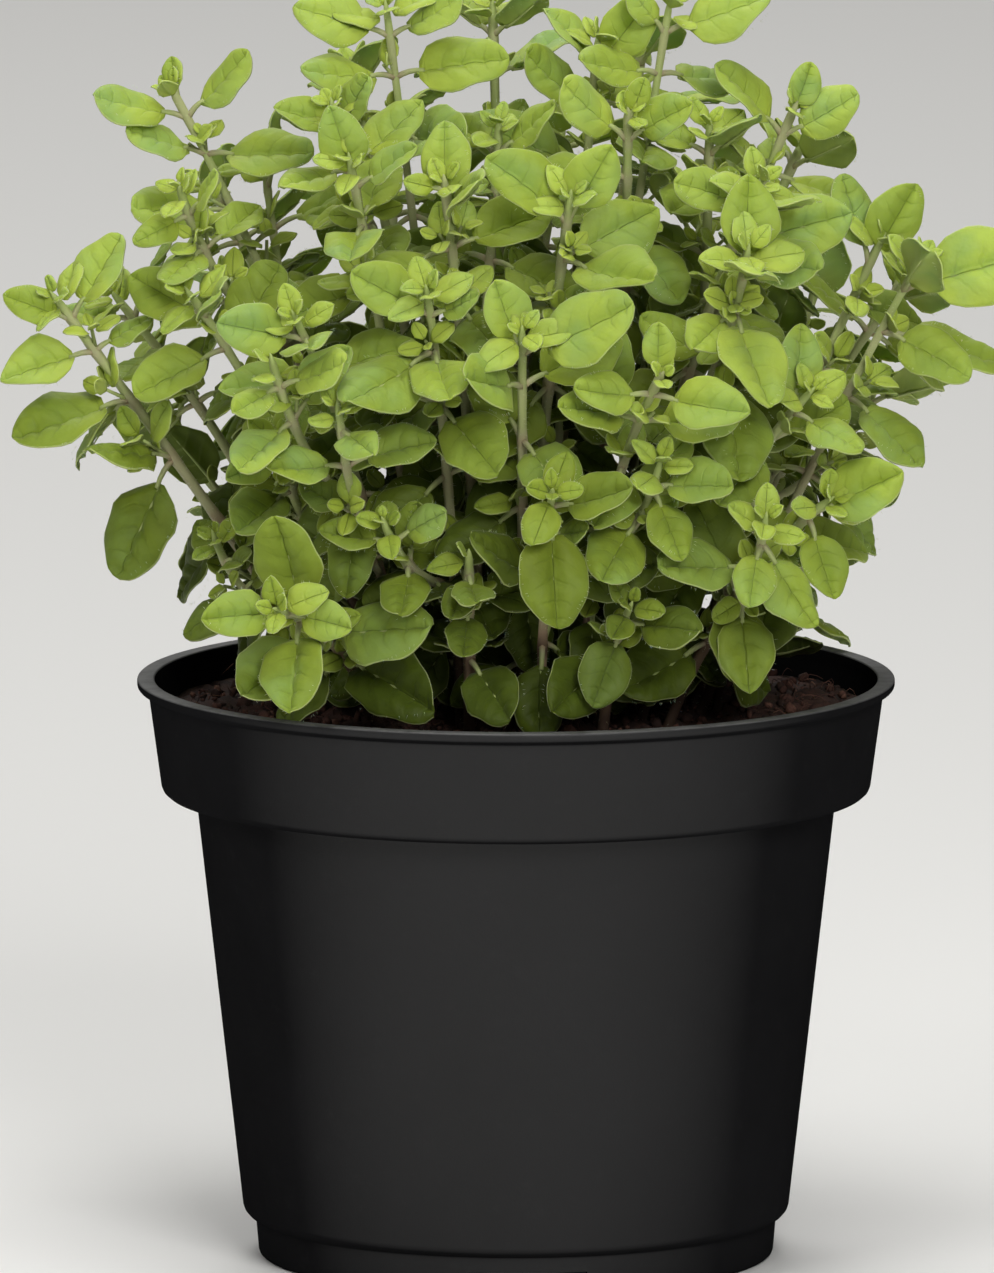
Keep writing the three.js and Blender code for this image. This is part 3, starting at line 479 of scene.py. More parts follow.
def radial_block(cutters, inner, outer, width, low, high, turn):
    """A block that reaches outwards, turned round the upright axis."""
    block = bmesh.ops.create_cube(cutters, size=1)["verts"]
    bmesh.ops.scale(cutters, vec=(outer - inner, width, high - low), verts=block)
    bmesh.ops.translate(cutters, vec=((inner + outer) / 2, 0, (low + high) / 2), verts=block)
    spin = Matrix.Rotation(turn, 3, "Z")
    bmesh.ops.rotate(cutters, cent=(0, 0, 0), matrix=spin, verts=block)
    edges = upright({e for v in block for e in v.link_edges}, (high - low) / 2)
    round_edges(cutters, edges, BLOCK_ROUNDING, 2)


def as_mesh(shape):
    """A finished bmesh, turned into a mesh."""
    mesh = bpy.data.meshes.new("mesh")
    shape.to_mesh(mesh)
    shape.free()
    return mesh


def cut(body, cutters):
    """A mesh cut by the blocks of another one."""
    objects = []
    for name, shape in (("body", body), ("cutters", cutters)):
        objects.append(bpy.data.objects.new(name, as_mesh(shape)))
        bpy.context.scene.collection.objects.link(objects[-1])
    boolean = objects[0].modifiers.new("cut", "BOOLEAN")
    boolean.operation = "DIFFERENCE"
    boolean.solver = "EXACT"
    boolean.object = objects[1]
    graph = bpy.context.evaluated_depsgraph_get()
    result = bpy.data.meshes.new_from_object(objects[0].evaluated_get(graph))
    for item in objects:
        bpy.data.objects.remove(item)
    return result


blocks = bmesh.new()
for i in range(NOTCHES):
    turn = math.radians(NOTCH_TURN - 90 + i * 360 / NOTCHES)
    inner, outer = FOOT_RADIUS - NOTCH_REACH, FOOT_RADIUS + NOTCH_REACH
    radial_block(blocks, inner, outer, NOTCH_WIDTH, -1, BASE_HEIGHT, turn)
    low, high = BASE_HEIGHT - 1, BASE_HEIGHT + WALL + 1
    radial_block(blocks, DRAIN_INNER, DRAIN_OUTER, DRAIN_WIDTH, low, high, turn)
pot_body = cut(spun(POT_CORNERS, POT_STEPS), blocks)
pot = finished("nursery_pot", pot_body, [pot_plastic], ["pot"], SHARP_FROM)
print("pot:", triangle_count(pot.data), "triangles")

# %% [markdown]
# ## Copies that bend
# Leaves, stalks, stems, crumbs and hairs are all repeated shapes. Each kind is made once by an
# operator as a small template, whose points are read as coordinates on the shape: round and along
# for a tube, across and along for a blade. Every copy then gets places for these points.

# %% Templates and the piece that gathers the copies
class Template:
    """A small mesh to copy, with its points as an array."""

    def __init__(self, shape):
        bmesh.ops.recalc_face_normals(shape, faces=shape.faces[:])
        self.mesh = as_mesh(shape)
        self.points = np.array([v.co for v in self.mesh.vertices])


class Copies:
    """Copies of templates, gathered in one mesh."""

    def __init__(self):
        self.shape = bmesh.new()
        self.places = []
        self.marks = {"tone": [], "cast": []}

    def add(self, template, places, tone, cast=0.0):
        """One more copy; tone and cast are one number for it, or one for each point."""
        self.shape.from_mesh(template.mesh)
        self.places.append(places)
        self.marks["tone"].append(np.broadcast_to(tone, len(places)))
        self.marks["cast"].append(np.broadcast_to(cast, len(places)))

    def mesh(self):
        mesh = as_mesh(self.shape)
        mesh.vertices.foreach_set("co", np.concatenate(self.places).astype(np.float32).ravel())
        for name, values in self.marks.items():
            mark = mesh.attributes.new(name, "FLOAT", "POINT")
            mark.data.foreach_set("value", np.concatenate(values).astype(np.float32))
        mesh.update()
        return mesh


def cone(sides, top_radius):
    """A closed cone or tube from z = 0 to 1, with radius 1 at its foot."""
    shape = bmesh.new()
    bmesh.ops.create_cone(
        shape, cap_ends=True, segments=sides, radius1=1, radius2=top_radius, depth=1
    )
    bmesh.ops.translate(shape, vec=(0, 0, 0.5), verts=shape.verts[:])
    return shape


def tube_template(sides, rings):
    shape = cone(sides, 1)
    lengthwise = upright(shape.edges, 0.5)
    bmesh.ops.subdivide_edges(shape, edges=lengthwise, cuts=rings - 2, use_grid_fill=True)
    return Template(shape)


def hair_template():
    """A three-sided spike, which uses the third of its piece's finishes."""
    shape = cone(3, 0)
    bmesh.ops.remove_doubles(shape, verts=shape.verts[:], dist=SAME_PLACE)
    for face in shape.faces:
        face.material_index = 2
    return Template(shape)


def blade_template(columns, rows, veins):
    """A thin closed pad: x is across, y is along, and z is 1 above and -1 below."""
    shape = bmesh.new()
    bmesh.ops.create_grid(shape, x_segments=columns, y_segments=rows, size=1)
    under = shape.faces[:]
    uv = shape.loops.layers.uv.new("blade")
    lifted = bmesh.ops.extrude_face_region(shape, geom=under, use_keep_orig=True)["geom"]
    upper = [v for v in lifted if isinstance(v, bmesh.types.BMVert)]
    bmesh.ops.translate(shape, vec=(0, 0, 1), verts=upper)
    for vert in shape.verts:
        vert.co.z = 1 if vert.co.z > 0.5 else -1
    for face in shape.faces:
        face.material_index = 0 if any(v.co.z > 0 for v in face.verts) else 1
        for loop in face.loops:
            share = (loop.vert.co.y + 1) / 2
            loop[uv].uv = (loop.vert.co.x + 1) / 2, share * veins / VEINS
    template = Template(shape)
    template.veins = veins
    return template


stem_tube = tube_template(8, 30)
stalk_tube = tube_template(5, 5)
fibre_tube = tube_template(3, 5)
big_blade = blade_template(10, 15, VEINS)
shade_blade = blade_template(6, 13, 4)
tip_blade = blade_template(6, 9, 3)
tiny_blade = blade_template(4, 6, 0)
hair_spike = hair_template()
for name, template in (("stem", stem_tube), ("stalk", stalk_tube), ("large blade", big_blade),
                       ("shade blade", shade_blade), ("tip blade", tip_blade),
                       ("tiny blade", tiny_blade), ("hair", hair_spike)):
    print(name + ":", len(template.points), "points,", triangle_count(template.mesh), "triangles")

# %% [markdown]
# ## How the plant grows
# Oregano's leaves stand in pairs, each pair crossing the one below it. The list gives where each
# stem starts in the soil, where its tip is, how it arches, how many pairs of leaves it has, how
# long the largest is and how the first pair is turned. The leaves follow by rule from the tip
# downwards, except the few whose own tips are given, which make the plant's outline. This is the
# rule of the plain model, with the same draws, so that each fine leaf lies where the plain one does.

# %% The shoots
SOIL_LEVEL, SOIL_MOUND, SOIL_LUMP, ROOT_DEPTH, GAP = 94, 1.5, 0.8, 7, 0.3
STEM_FOOT_RADIUS, STEM_TIP_RADIUS, BRANCH_RADIUS = 1.15, 0.75, 0.9
STEM_STEPS, BRANCH_STEPS, BUD_LENGTH, BRANCH_ARCH = 4, 2, 3.5, -0.35
ARCH_BACK, ARCH_RISE, ARCH_LIFT = 0.5, 0.35, 0.3


def branch(at, tip, pairs, blade, turn, reach={}):
    """A side shoot that forks from its stem at a share of the stem's length."""
    return dict(at=at, tip=tip, pairs=pairs, blade=blade, turn=turn, reach=reach)


def stem(root, tip, arch, pairs, blade, turn, reach={}, *branches, stretch=1, tone=0):
    """A stem from the soil; reach says where the tips of a pair's one or two leaves are."""
    return dict(root=root, tip=tip, arch=arch, pairs=pairs, blade=blade, turn=turn, reach=reach,
                branches=branches, stretch=stretch, tone=tone)


STEMS = [
    stem((-22, -8), (-78, -10, 166), 0.02, 6, 15, 40,
         {1: [(-68, -9, 178), (-87, -12, 168)], 2: [(-88, -15, 155), (-63, -12, 165)],
          3: [(-86, -14, 145)], 4: [(-70, -16, 121), (-72, -19, 144)]},
         branch(0.3, (-51, -20, 126), 2, 10, 30), stretch=0.95),
    stem((-21, -17), (-40, -57, 120), 0.35, 5, 14, 8,
         {1: [(-53, -60, 120), (-28, -61, 118)], 2: [(-40, -56, 136), (-39, -65, 105)],
          3: [(-49, -62, 105), (-17, -55, 118)], 4: [(-12, -59, 103)]}, stretch=0.8),
    stem((-14, 2), (-58, 0, 200), 0.16, 6, 14, 15,
         {0: [(-59, 2, 207)], 1: [(-72, -5, 202), (-46, -4, 209)],
          2: [(-66, -6, 196), (-35, -6, 192)], 3: [(-65, -8, 183)]},
         branch(0.55, (-43, 9, 187), 4, 15, 0),
         branch(0.6, (-57, -13, 185), 3, 11, 60, {1: [(-65, -17, 178)]})),
    stem((-8, -3), (-22, -5, 215), 0.1, 6, 15, 0,
         {1: [(-37, -9, 218), (-9, -8, 219)], 2: [(-36, -15, 207), (-2, -9, 210)],
          3: [(-11, -22, 197)]},
         branch(0.62, (-31, -19, 200), 4, 12.5, 30, {1: [(-40, -22, 202), (-26, -23, 207)]})),
    stem((-14, -12), (-28, -30, 192), 0.2, 5, 13, 75, {1: [(-31, -32, 202)]}),
    stem((-5, -17), (-12, -36, 189), 0.25, 7, 14.5, 25,
         {0: [(-19, -38, 191), (-5, -38, 191)], 1: [(-13, -37, 200)]},
         branch(0.55, (-3, -15, 196), 4, 13, 60)),
    stem((-9, -23), (-15, -47, 172), 0.35, 7, 15.5, 20,
         {1: [(-27, -50, 177), (-6, -50, 173)], 2: [(-29, -58, 156), (-12, -60, 158)]},
         branch(0.38, (-22, -50, 133), 3, 11, 80)),
    stem((-17, -20), (-37, -42, 167), 0.3, 6, 14, 10, {1: [(-50, -46, 168)]},
         branch(0.55, (-41, -47, 160), 3, 13.5, 50, {1: [(-48, -54, 154)]}),
         branch(0.42, (-30, -52, 153), 4, 11.5, 20)),
    stem((-19, -1), (-55, -19, 168), 0.2, 6, 15, 35, {2: [(-65, -22, 153)]},
         branch(0.45, (-40, -34, 145), 4, 14, 60, {1: [(-49, -38, 141)]})),
    stem((4, 1), (14, 2, 209), 0.1, 7, 15, 20,
         {1: [(6, 0, 216), (23, 0, 217)], 2: [(1, -4, 208)], 3: [(-7, -3, 199)]}),
    stem((9, -2), (26, 0, 215), 0.12, 7, 14.5, 0, {1: [(20, -4, 220), (43, -4, 219)]},
         branch(0.6, (19, -22, 199), 4, 13.5, 25,
                {0: [(22, -24, 206)], 1: [(8, -26, 206), (29, -26, 203)]})),
    stem((15, 3), (47, 0, 197), 0.2, 6, 13.5, 10,
         {0: [(51, 0, 206)], 1: [(35, -4, 207), (58, -4, 201)]},
         branch(0.6, (33, -8, 195), 4, 14, 50)),
    stem((14, -11), (41, -27, 188), 0.25, 7, 15, 30,
         {1: [(28, -31, 191)], 2: [(51, -36, 175), (57, -24, 184)]},
         branch(0.55, (39, -42, 178), 4, 17, 15, {2: [(30, -50, 164), (43, -54, 157)]})),
    stem((27, -3), (62, -8, 176), 0.1, 5, 13.5, 20,
         {1: [(57, -8, 188), (68, -10, 186)], 2: [(57, -14, 165)]}, stretch=1.1),
    stem((28, -11), (68, -17, 173), 0.08, 5, 16, 0,
         {1: [(88, -20, 177)], 2: [(78, -24, 164)], 3: [(70, -24, 142)]}, stretch=1.15),
    stem((1, -13), (9, -39, 187), 0.25, 7, 15, 35,
         {1: [(-3, -42, 196), (16, -42, 197)], 2: [(23, -50, 174)]}),
    stem((1, -25), (1, -53, 166), 0.35, 6, 15, 20,
         {1: [(-4, -54, 176), (20, -58, 172)], 2: [(-12, -62, 159)]}),
    stem((9, -24), (24, -56, 159), 0.4, 6, 13.5, 5,
         {0: [(24, -57, 169)], 1: [(10, -60, 158), (39, -60, 154)]},
         branch(0.5, (24, -50, 143), 3, 14, 70, {1: [(29, -56, 129)]})),
    stem((19, -18), (49, -40, 154), 0.3, 6, 13.5, 45, {2: [(35, -48, 137)]}),
    stem((23, -23), (52, -43, 136), 0.3, 5, 15, 20,
         {1: [(65, -47, 143), (54, -48, 121)], 2: [(44, -50, 125)], 3: [(37, -45, 106)]},
         branch(0.55, (42, -53, 134), 3, 14, 0, {1: [(39, -59, 121), (51, -54, 117)]})),
    # The three low stems in front get a tone of -0.3, which paints their leaves darker, as painted
    # shade under the crown
    stem((4, -34), (6, -60, 140), 0.5, 4, 15.5, 85,
         {1: [(7, -67, 119)], 2: [(9, -62, 134)]}, tone=-0.3),
    stem((14, -35), (19, -50, 119), 0.4, 3, 14, 60, {1: [(13, -56, 104)]}, tone=-0.3),
    stem((-8, -35), (-8, -52, 128), 0.4, 4, 13.5, 30,
         {1: [(-11, -58, 119)], 2: [(-9, -56, 112)]}, tone=-0.3),
    stem((-8, 9), (-28, 28, 201), 0.15, 5, 14, 30, {}, branch(0.5, (-22, 48, 184), 4, 15, 10)),
    stem((-1, 8), (-4, 22, 212), 0.12, 5, 14, 50, {}, branch(0.5, (8, 50, 188), 4, 15, 75)),
    stem((8, 11), (22, 28, 206), 0.15, 5, 14, 10, {}, branch(0.5, (34, 48, 178), 4, 15, 35)),
    stem((17, 11), (49, 28, 188), 0.2, 5, 14, 40, {}, branch(0.5, (52, 48, 160), 3, 15, 0)),
    stem((-18, 11), (-52, 30, 181), 0.2, 5, 14, 20, {}, branch(0.5, (-43, 50, 162), 3, 15, 60)),
    stem((-25, 6), (-68, 14, 163), 0.2, 4, 15, 70, {}, branch(0.45, (-60, 34, 142), 3, 15, 30)),
    stem((25, 8), (67, 18, 166), 0.2, 4, 15, 25, {}, branch(0.5, (62, 36, 145), 3, 15, 55)),
    stem((-5, 21), (-9, 54, 161), 0.3, 5, 15, 15, {}, branch(0.5, (-30, 53, 142), 3, 15, 45)),
    stem((7, 22), (20, 55, 164), 0.3, 5, 15, 65, {}, branch(0.5, (38, 53, 138), 3, 15, 20)),
    stem((1, 31), (2, 55, 130), 0.4, 3, 15, 40),
]
UP, ACROSS, FRONT = np.array((0.0, 0, 1)), np.array((1.0, 0, 0)), np.array((0.0, -1, 0))
ARC_DIVISIONS = 200
spread = np.multiply.outer  # turns a row of numbers and a direction into a row of places


def unit(v):
    return v / math.sqrt(v @ v)


class Shoot:
    """A stem or branch: a curve with three control points, and straight bars between places on it."""

    def __init__(self, entry, number, start, arch, radius, steps):
        self.number, self.radius = number, radius
        self.is_branch = "root" not in entry
        self.pairs, self.blade, self.turn = entry["pairs"], entry["blade"], entry["turn"]
        self.stretch, self.reach = entry.get("stretch", 1), entry.get("reach", {})
        self.tone = entry.get("tone", 0)
        tip = np.array(entry["tip"], float)
        way = tip - start
        middle = start + way * 0.5
        middle[:2] -= way[:2] * ARCH_BACK * arch
        middle[2] += (way[2] * ARCH_RISE + math.hypot(way[0], way[1]) * ARCH_LIFT) * arch
        self.controls = start, middle, tip
        grid = np.linspace(0, 1, ARC_DIVISIONS + 1)
        chords = np.linalg.norm(np.diff(self.point(grid), axis=0), axis=1)
        self.lengths = np.concatenate([[0], np.cumsum(chords)])
        self.grid = grid
        self.length = self.lengths[-1]
        self.middles = self.at(np.linspace(0, 1, steps + 1))

    def point(self, t):
        t = np.asarray(t)[..., None]
        a, b, c = self.controls
        return (1 - t) ** 2 * a + 2 * (1 - t) * t * b + t**2 * c

    def share_to_t(self, share):
        """The curve's own number for a share of its length."""
        return np.interp(np.asarray(share) * self.length, self.lengths, self.grid)

    def at(self, share):
        return self.point(self.share_to_t(share))

    def tangent(self, share):
        t = float(self.share_to_t(share))
        low, high = max(t - 0.0001, 0), min(t + 0.0001, 1)
        return unit(self.point(high) - self.point(low))

    def middle(self, share):
        """The middle of the straight bars."""
        steps = len(self.middles) - 1
        step = min(int(math.floor(share * steps)), steps - 1)
        part = share * steps - step
        return self.middles[step] + (self.middles[step + 1] - self.middles[step]) * part

    def thickness(self, share):
        """The distance from the stem's middle to its corners."""
        return self.radius * (1 - share) + STEM_TIP_RADIUS * share


shoots = []
for number, entry in enumerate(STEMS, 1):
    foot = np.array((*entry["root"], SOIL_LEVEL - ROOT_DEPTH), float)
    main = Shoot(entry, number, foot, entry["arch"], STEM_FOOT_RADIUS, STEM_STEPS)
    shoots.append(main)
    for side in entry["branches"]:
        fork = main.middle(side["at"])
        shoots.append(Shoot(side, number, fork, BRANCH_ARCH, BRANCH_RADIUS, BRANCH_STEPS))
print("shoots:", len(shoots), "total length", round(sum(s.length for s in shoots)), "mm")

# %% [markdown]
# A leaf is a base point, three directions and a length: along its rib, across to its side, and the
# way its upper face looks. The face turns towards the light. A leaf that finds no room turns a
# little or grows smaller, so that no blades cross.

# %% Leaves by rule
PAIRS = [  # distance down from the tip, size, lift in degrees, how far the blade hangs
    (0.4, 0.5, 56, 0), (4, 0.84, 34, 0), (11, 1.0, 20, 0.1), (22, 1.0, 12, 0.3),
    (35, 0.95, 5, 0.6), (50, 0.88, 0, 0.8), (64, 0.84, -5, 0.8), (77, 0.8, -8, 0.8),
]
TRIES = [  # turn and lift in degrees, size
    (0, 0, 1), (14, 10, 1), (-14, 10, 1), (0, -20, 1), (0, 24, 1), (26, -8, 0.92),
    (-26, -8, 0.92), (30, 22, 0.85), (-30, 22, 0.85), (0, -40, 0.8), (0, 42, 0.8),
    (40, 0, 0.72), (-40, 0, 0.72), (20, 35, 0.6), (-20, -30, 0.6),
]
PETIOLE_SHARE, STALK_FOOT, HALF_WIDTH = 0.22, 1, 0.38
CUP, CUP_SPREAD, CURL, CURL_SPREAD, CURL_HANGING = 0.12, 0.16, 0.1, 0.1, 0.12
TURN_SPREAD, LIFT_SPREAD, ROLL_SPREAD, SIZE_SPREAD = 12, 9, 14, 0.1
LOWEST_LEAF, LONGEST = 0.04, 1.2
TURN_TO_LIGHT, LIGHT_OUT, LIGHT_FRONT, LIGHT_FRONT_EDGE = 1.3, 0.75, 0.75, 1.5
LIGHT_DEPTH, LIGHT_UP = 30, 0.9
LEAF_GAP, POT_GAP, STEM_CLEARANCE, OWN_STEM, ONE_NODE = 1.55, 1.6, 1, 2.5, 6
END_MARGIN, SIDE_MARGIN = 0.08, 0.5
SAMPLE_STALK = (0.55, 0.8)  # a leaf is tested for room at these places on its stalk and blade
SAMPLE_U = np.repeat((0, 0.14, 0.28, 0.42, 0.56, 0.7, 0.85, 1), 5)
SAMPLE_V = np.tile((-1, -0.5, 0, 0.5, 1), 8)
STEM_SAMPLES = 60
DRAW_FACTOR, DRAW_STEP, DRAW_RANGE = 1664525, 1013904223, 4294967296

seed = 20


def draw():
    """The next random number from 0 to 1."""
    global seed
    seed = (seed * DRAW_FACTOR + DRAW_STEP) % DRAW_RANGE
    return seed / DRAW_RANGE


def wobble(most):
    return (2 * draw() - 1) * most


def half_width(u):
    """Half the width of a plain blade, as a share of its length, at a place along it."""
    return HALF_WIDTH * np.sin(np.pi * np.clip(u, 0, 1) ** 0.82).clip(0) ** 0.72


def soil_height(x, y):
    """A mound with lumps, which a few slow waves make."""
    share = np.hypot(x, y) / (BAND_TOP_RADIUS - WALL)
    long = np.sin(0.31 * x + 1.3) * np.cos(0.27 * y)
    short = np.sin(0.55 * y - 0.43 * x + 0.7)
    return SOIL_LEVEL + SOIL_MOUND * (1 - share * share) + SOIL_LUMP * (0.62 * long + 0.38 * short)


def across_stem(tangent):
    """Two directions square to a stem and to each other."""
    first = unit(ACROSS - tangent * (ACROSS @ tangent))
    return first, np.cross(tangent, first)


def away_from_stem(tangent, turn):
    """The direction square to a stem at a turn round it."""
    first, second = across_stem(tangent)
    return first * math.cos(turn) + second * math.sin(turn)


def light_at(point, placed):
    """Where the light comes from: above, outside and, for the front leaves, the front."""
    front = LIGHT_FRONT_EDGE if placed else LIGHT_FRONT
    fade = max(0, 1 - max(0, point[1]) / LIGHT_DEPTH)
    out = unit(np.array((point[0], point[1], 0)))
    return out * LIGHT_OUT + FRONT * front * fade + UP * LIGHT_UP


class Leaf:
    """A leaf's wish, then its pose once it has found room."""

    def __init__(self, **values):
        self.__dict__.update(values)

    def pose(self, yaw, pitch, share):
        leaf = Leaf(**self.__dict__)
        leaf.length = self.length * share
        leaf.out = away_from_stem(self.tangent, self.azimuth + yaw)
        lift = self.lift + pitch
        along = leaf.out * math.cos(lift) + self.tangent * math.sin(lift) - UP * self.hang
        leaf.along = along = unit(along)
        face = self.tangent + light_at(self.point, self.placed) * TURN_TO_LIGHT
        face = unit(face - along * (face @ along))
        side = np.cross(along, face)
        face = face * math.cos(self.roll) + side * math.sin(self.roll)
        leaf.face, leaf.side = face, np.cross(along, face)
        leaf.base = self.point + along * (leaf.length * PETIOLE_SHARE + STALK_FOOT)
        return leaf

    def on_blade(self, u, v):
        """Places on the blade, u of the way along it and v of the way from its rib to its edge."""
        across = half_width(u) * v
        level = self.cup * np.abs(across) - self.curl * u * u
        return (self.base + self.length * (spread(u, self.along)
                + spread(across, self.side) + spread(level, self.face)))

    def take_samples(self):
        stalk = [self.point + (self.base - self.point) * share for share in SAMPLE_STALK]
        self.samples = np.concatenate([stalk, self.on_blade(SAMPLE_U, SAMPLE_V)])
        return self

    def near(self, points, distance):
        """Which points lie within a distance of the blade."""
        way = points - self.base
        u = way @ self.along / self.length
        across = np.abs(way @ self.side) / self.length
        inside = np.clip(u, 0, 1)
        level = self.cup * across - self.curl * inside * inside
        return (
            (u >= -END_MARGIN) & (u <= 1 + END_MARGIN)
            & (across <= half_width(inside) + SIDE_MARGIN / self.length)
            & (np.abs(way @ self.face - level * self.length) < distance)
        )


def clear_of_pot(points):
    r = np.hypot(points[:, 0], points[:, 1])
    outside = (r > LIP_RADIUS + POT_GAP) | (points[:, 2] > POT_HEIGHT + POT_GAP)
    inside = (r < BAND_FOOT_RADIUS - WALL - POT_GAP) & (
        points[:, 2] > soil_height(points[:, 0], points[:, 1]) + POT_GAP)
    return bool((outside | inside).all())


stem_points, stem_reach, stem_owner = [], [], []
for index, shoot in enumerate(shoots):
    for i in range(STEM_SAMPLES + 1):
        share = i / STEM_SAMPLES
        stem_points.append(shoot.middle(share))
        stem_reach.append(shoot.thickness(share) + STEM_CLEARANCE)
        stem_owner.append(index)
stem_points, stem_reach, stem_owner = map(np.array, (stem_points, stem_reach, stem_owner))


def clear_of_stems(leaf):
    test = np.linalg.norm(stem_points - leaf.point, axis=1) > OWN_STEM
    if leaf.order < 2:
        test &= stem_owner != leaf.shoot
    return not (leaf.near(stem_points, stem_reach) & test).any()


def has_room(leaf, leaves, gap):
    return (clear_of_pot(leaf.samples) and clear_of_stems(leaf)
            and all(clear_of_leaf(leaf, other, gap) for other in leaves))


def clear_of_leaf(leaf, other, gap):
    if math.dist(other.base, leaf.base) > other.length + leaf.length:
        return True
    if other.shoot == leaf.shoot and math.dist(other.point, leaf.point) < ONE_NODE:
        return True
    return not (other.near(leaf.samples, gap).any() or leaf.near(other.samples, gap).any())


def towards(place, point, tangent, longest):
    """The turn, lift and length that bring a leaf's tip to a place."""
    way = np.array(place, float) - point
    length = min((math.sqrt(way @ way) - STALK_FOOT) / (1 + PETIOLE_SHARE), longest)
    way = unit(way)
    first, second = across_stem(tangent)
    azimuth = math.atan2(way @ second, way @ first)
    return dict(azimuth=azimuth, lift=math.asin(way @ tangent), hang=0, length=length)


def wishes(index, shoot, first=0, last=None):
    """Every leaf that a shoot would like to grow, or those from one pair to another."""
    wanted = []
    for order in range(first, min(shoot.pairs if last is None else last, len(PAIRS))):
        down, size, lift, hang = PAIRS[order]
        share = 1 - down * shoot.stretch / shoot.length
        turn = shoot.turn + 90 * order + wobble(TURN_SPREAD)
        for half in (0, 1):
            wish = Leaf(
                shoot=index, order=order, azimuth=math.radians(turn + 180 * half),
                lift=math.radians(lift + wobble(LIFT_SPREAD)), hang=hang,
                length=shoot.blade * size * (1 + wobble(SIZE_SPREAD)),
                roll=math.radians(wobble(ROLL_SPREAD)), cup=CUP + wobble(CUP_SPREAD),
                curl=CURL + wobble(CURL_SPREAD) + CURL_HANGING * hang, share=share,
            )
            places = shoot.reach.get(order, [])
            wish.placed = half < len(places)
            if share < LOWEST_LEAF or (order == 0 and not wish.placed):
                continue
            wish.point, wish.tangent = shoot.middle(share), shoot.tangent(share)
            if wish.placed:
                longest = shoot.blade * LONGEST
                wish.__dict__.update(towards(places[half], wish.point, wish.tangent, longest))
            wanted.append(wish)
    return wanted


def grow(wanted, leaves, gap):
    """Adds a leaf for each wish that finds room, those of the outline first."""
    for wish in [w for w in wanted if w.placed] + [w for w in wanted if not w.placed]:
        for yaw, pitch, share in TRIES:
            leaf = wish.pose(math.radians(yaw), math.radians(pitch), share).take_samples()
            if has_room(leaf, leaves, gap):
                leaves.append(leaf)
                break


wanted = [wish for index, shoot in enumerate(shoots) for wish in wishes(index, shoot)]
leaves = []
grow(wanted, leaves, LEAF_GAP)
print("leaves:", len(leaves), "of", len(wanted), "wanted")

# %% [markdown]
# Many short shoots stand in the shade inside the plant, and the plain model leaves them out. They
# are spread evenly, as seeds in a sunflower are, and each one takes the first place where its stem
# misses every blade that is there already. Their leaves fill what room is left.

# %% Inner shoots
INNER_SHOOTS, GOLDEN_ANGLE, INNER_REACH = 38, math.radians(137.5), 40
INNER_LEAN, INNER_HEIGHT, INNER_SLOPE, INNER_BLADE = 1.35, 168, 0.85, 12.5
INNER_GAP, INNER_STEM_GAP, INNER_TRIES = 1.0, 1.4, 25
INNER_FRONT = -16  # no inner shoot stands nearer to the front than this
INNER_BACKWARDS, INNER_APART = 3, 2
LOW_PAIRS = 3  # more pairs that each plain shoot may grow lower down
LOWEST = 7  # how high over the soil they have to start

inner_first = len(shoots)
plain_count = len(leaves)
for index in range(inner_first):
    shoot = shoots[index]
    low = [w for w in wishes(index, shoot, shoot.pairs, shoot.pairs + LOW_PAIRS)
           if w.point[2] > SOIL_LEVEL + LOWEST]
    grow(low, leaves, INNER_GAP)
print("low leaves:", len(leaves) - plain_count)
for i in range(INNER_SHOOTS):
    for attempt in range(INNER_TRIES):
        r = INNER_REACH * math.sqrt((i + 0.5) / INNER_SHOOTS) + wobble(4)
        a = i * GOLDEN_ANGLE + wobble(0.35)
        x, y = r * math.cos(a), r * math.sin(a) + INNER_BACKWARDS
        if y < INNER_FRONT:
            y = INNER_FRONT + wobble(3)
        height = INNER_HEIGHT - INNER_SLOPE * r + wobble(16)
        entry = dict(root=(x, y), tip=(x * INNER_LEAN, y * INNER_LEAN, height), pairs=7,
                     blade=INNER_BLADE * (1 + wobble(0.15)), turn=90 * draw())
        foot = np.array((x, y, SOIL_LEVEL - ROOT_DEPTH), float)
        shoot = Shoot(entry, 0, foot, 0.15 + wobble(0.1), BRANCH_RADIUS, STEM_STEPS)
        line = np.array([shoot.middle(k / STEM_SAMPLES) for k in range(STEM_SAMPLES + 1)])
        reach = np.full(len(line), BRANCH_RADIUS + STEM_CLEARANCE)
        nearest = min(np.linalg.norm(stem_points - p, axis=1).min() for p in line[::6])
        crossed = any(leaf.near(line, INNER_STEM_GAP).any() for leaf in leaves)
        if nearest > INNER_APART and not crossed:
            shoots.append(shoot)
            stem_points = np.concatenate([stem_points, line])
            stem_reach = np.concatenate([stem_reach, reach])
            stem_owner = np.concatenate([stem_owner, np.full(len(line), len(shoots) - 1)])
            break
for index in range(inner_first, len(shoots)):
    grow(wishes(index, shoots[index]), leaves, INNER_GAP)
print("inner shoots:", len(shoots) - inner_first, "with", len(leaves) - plain_count, "leaves")

# %% [markdown]
# ## Soil
# The soil is a closed body under a bumpy surface. Its section is spun like the pot's, with many
# rings on top that noise then lifts into clods. Loose crumbs and fibres lie over it.

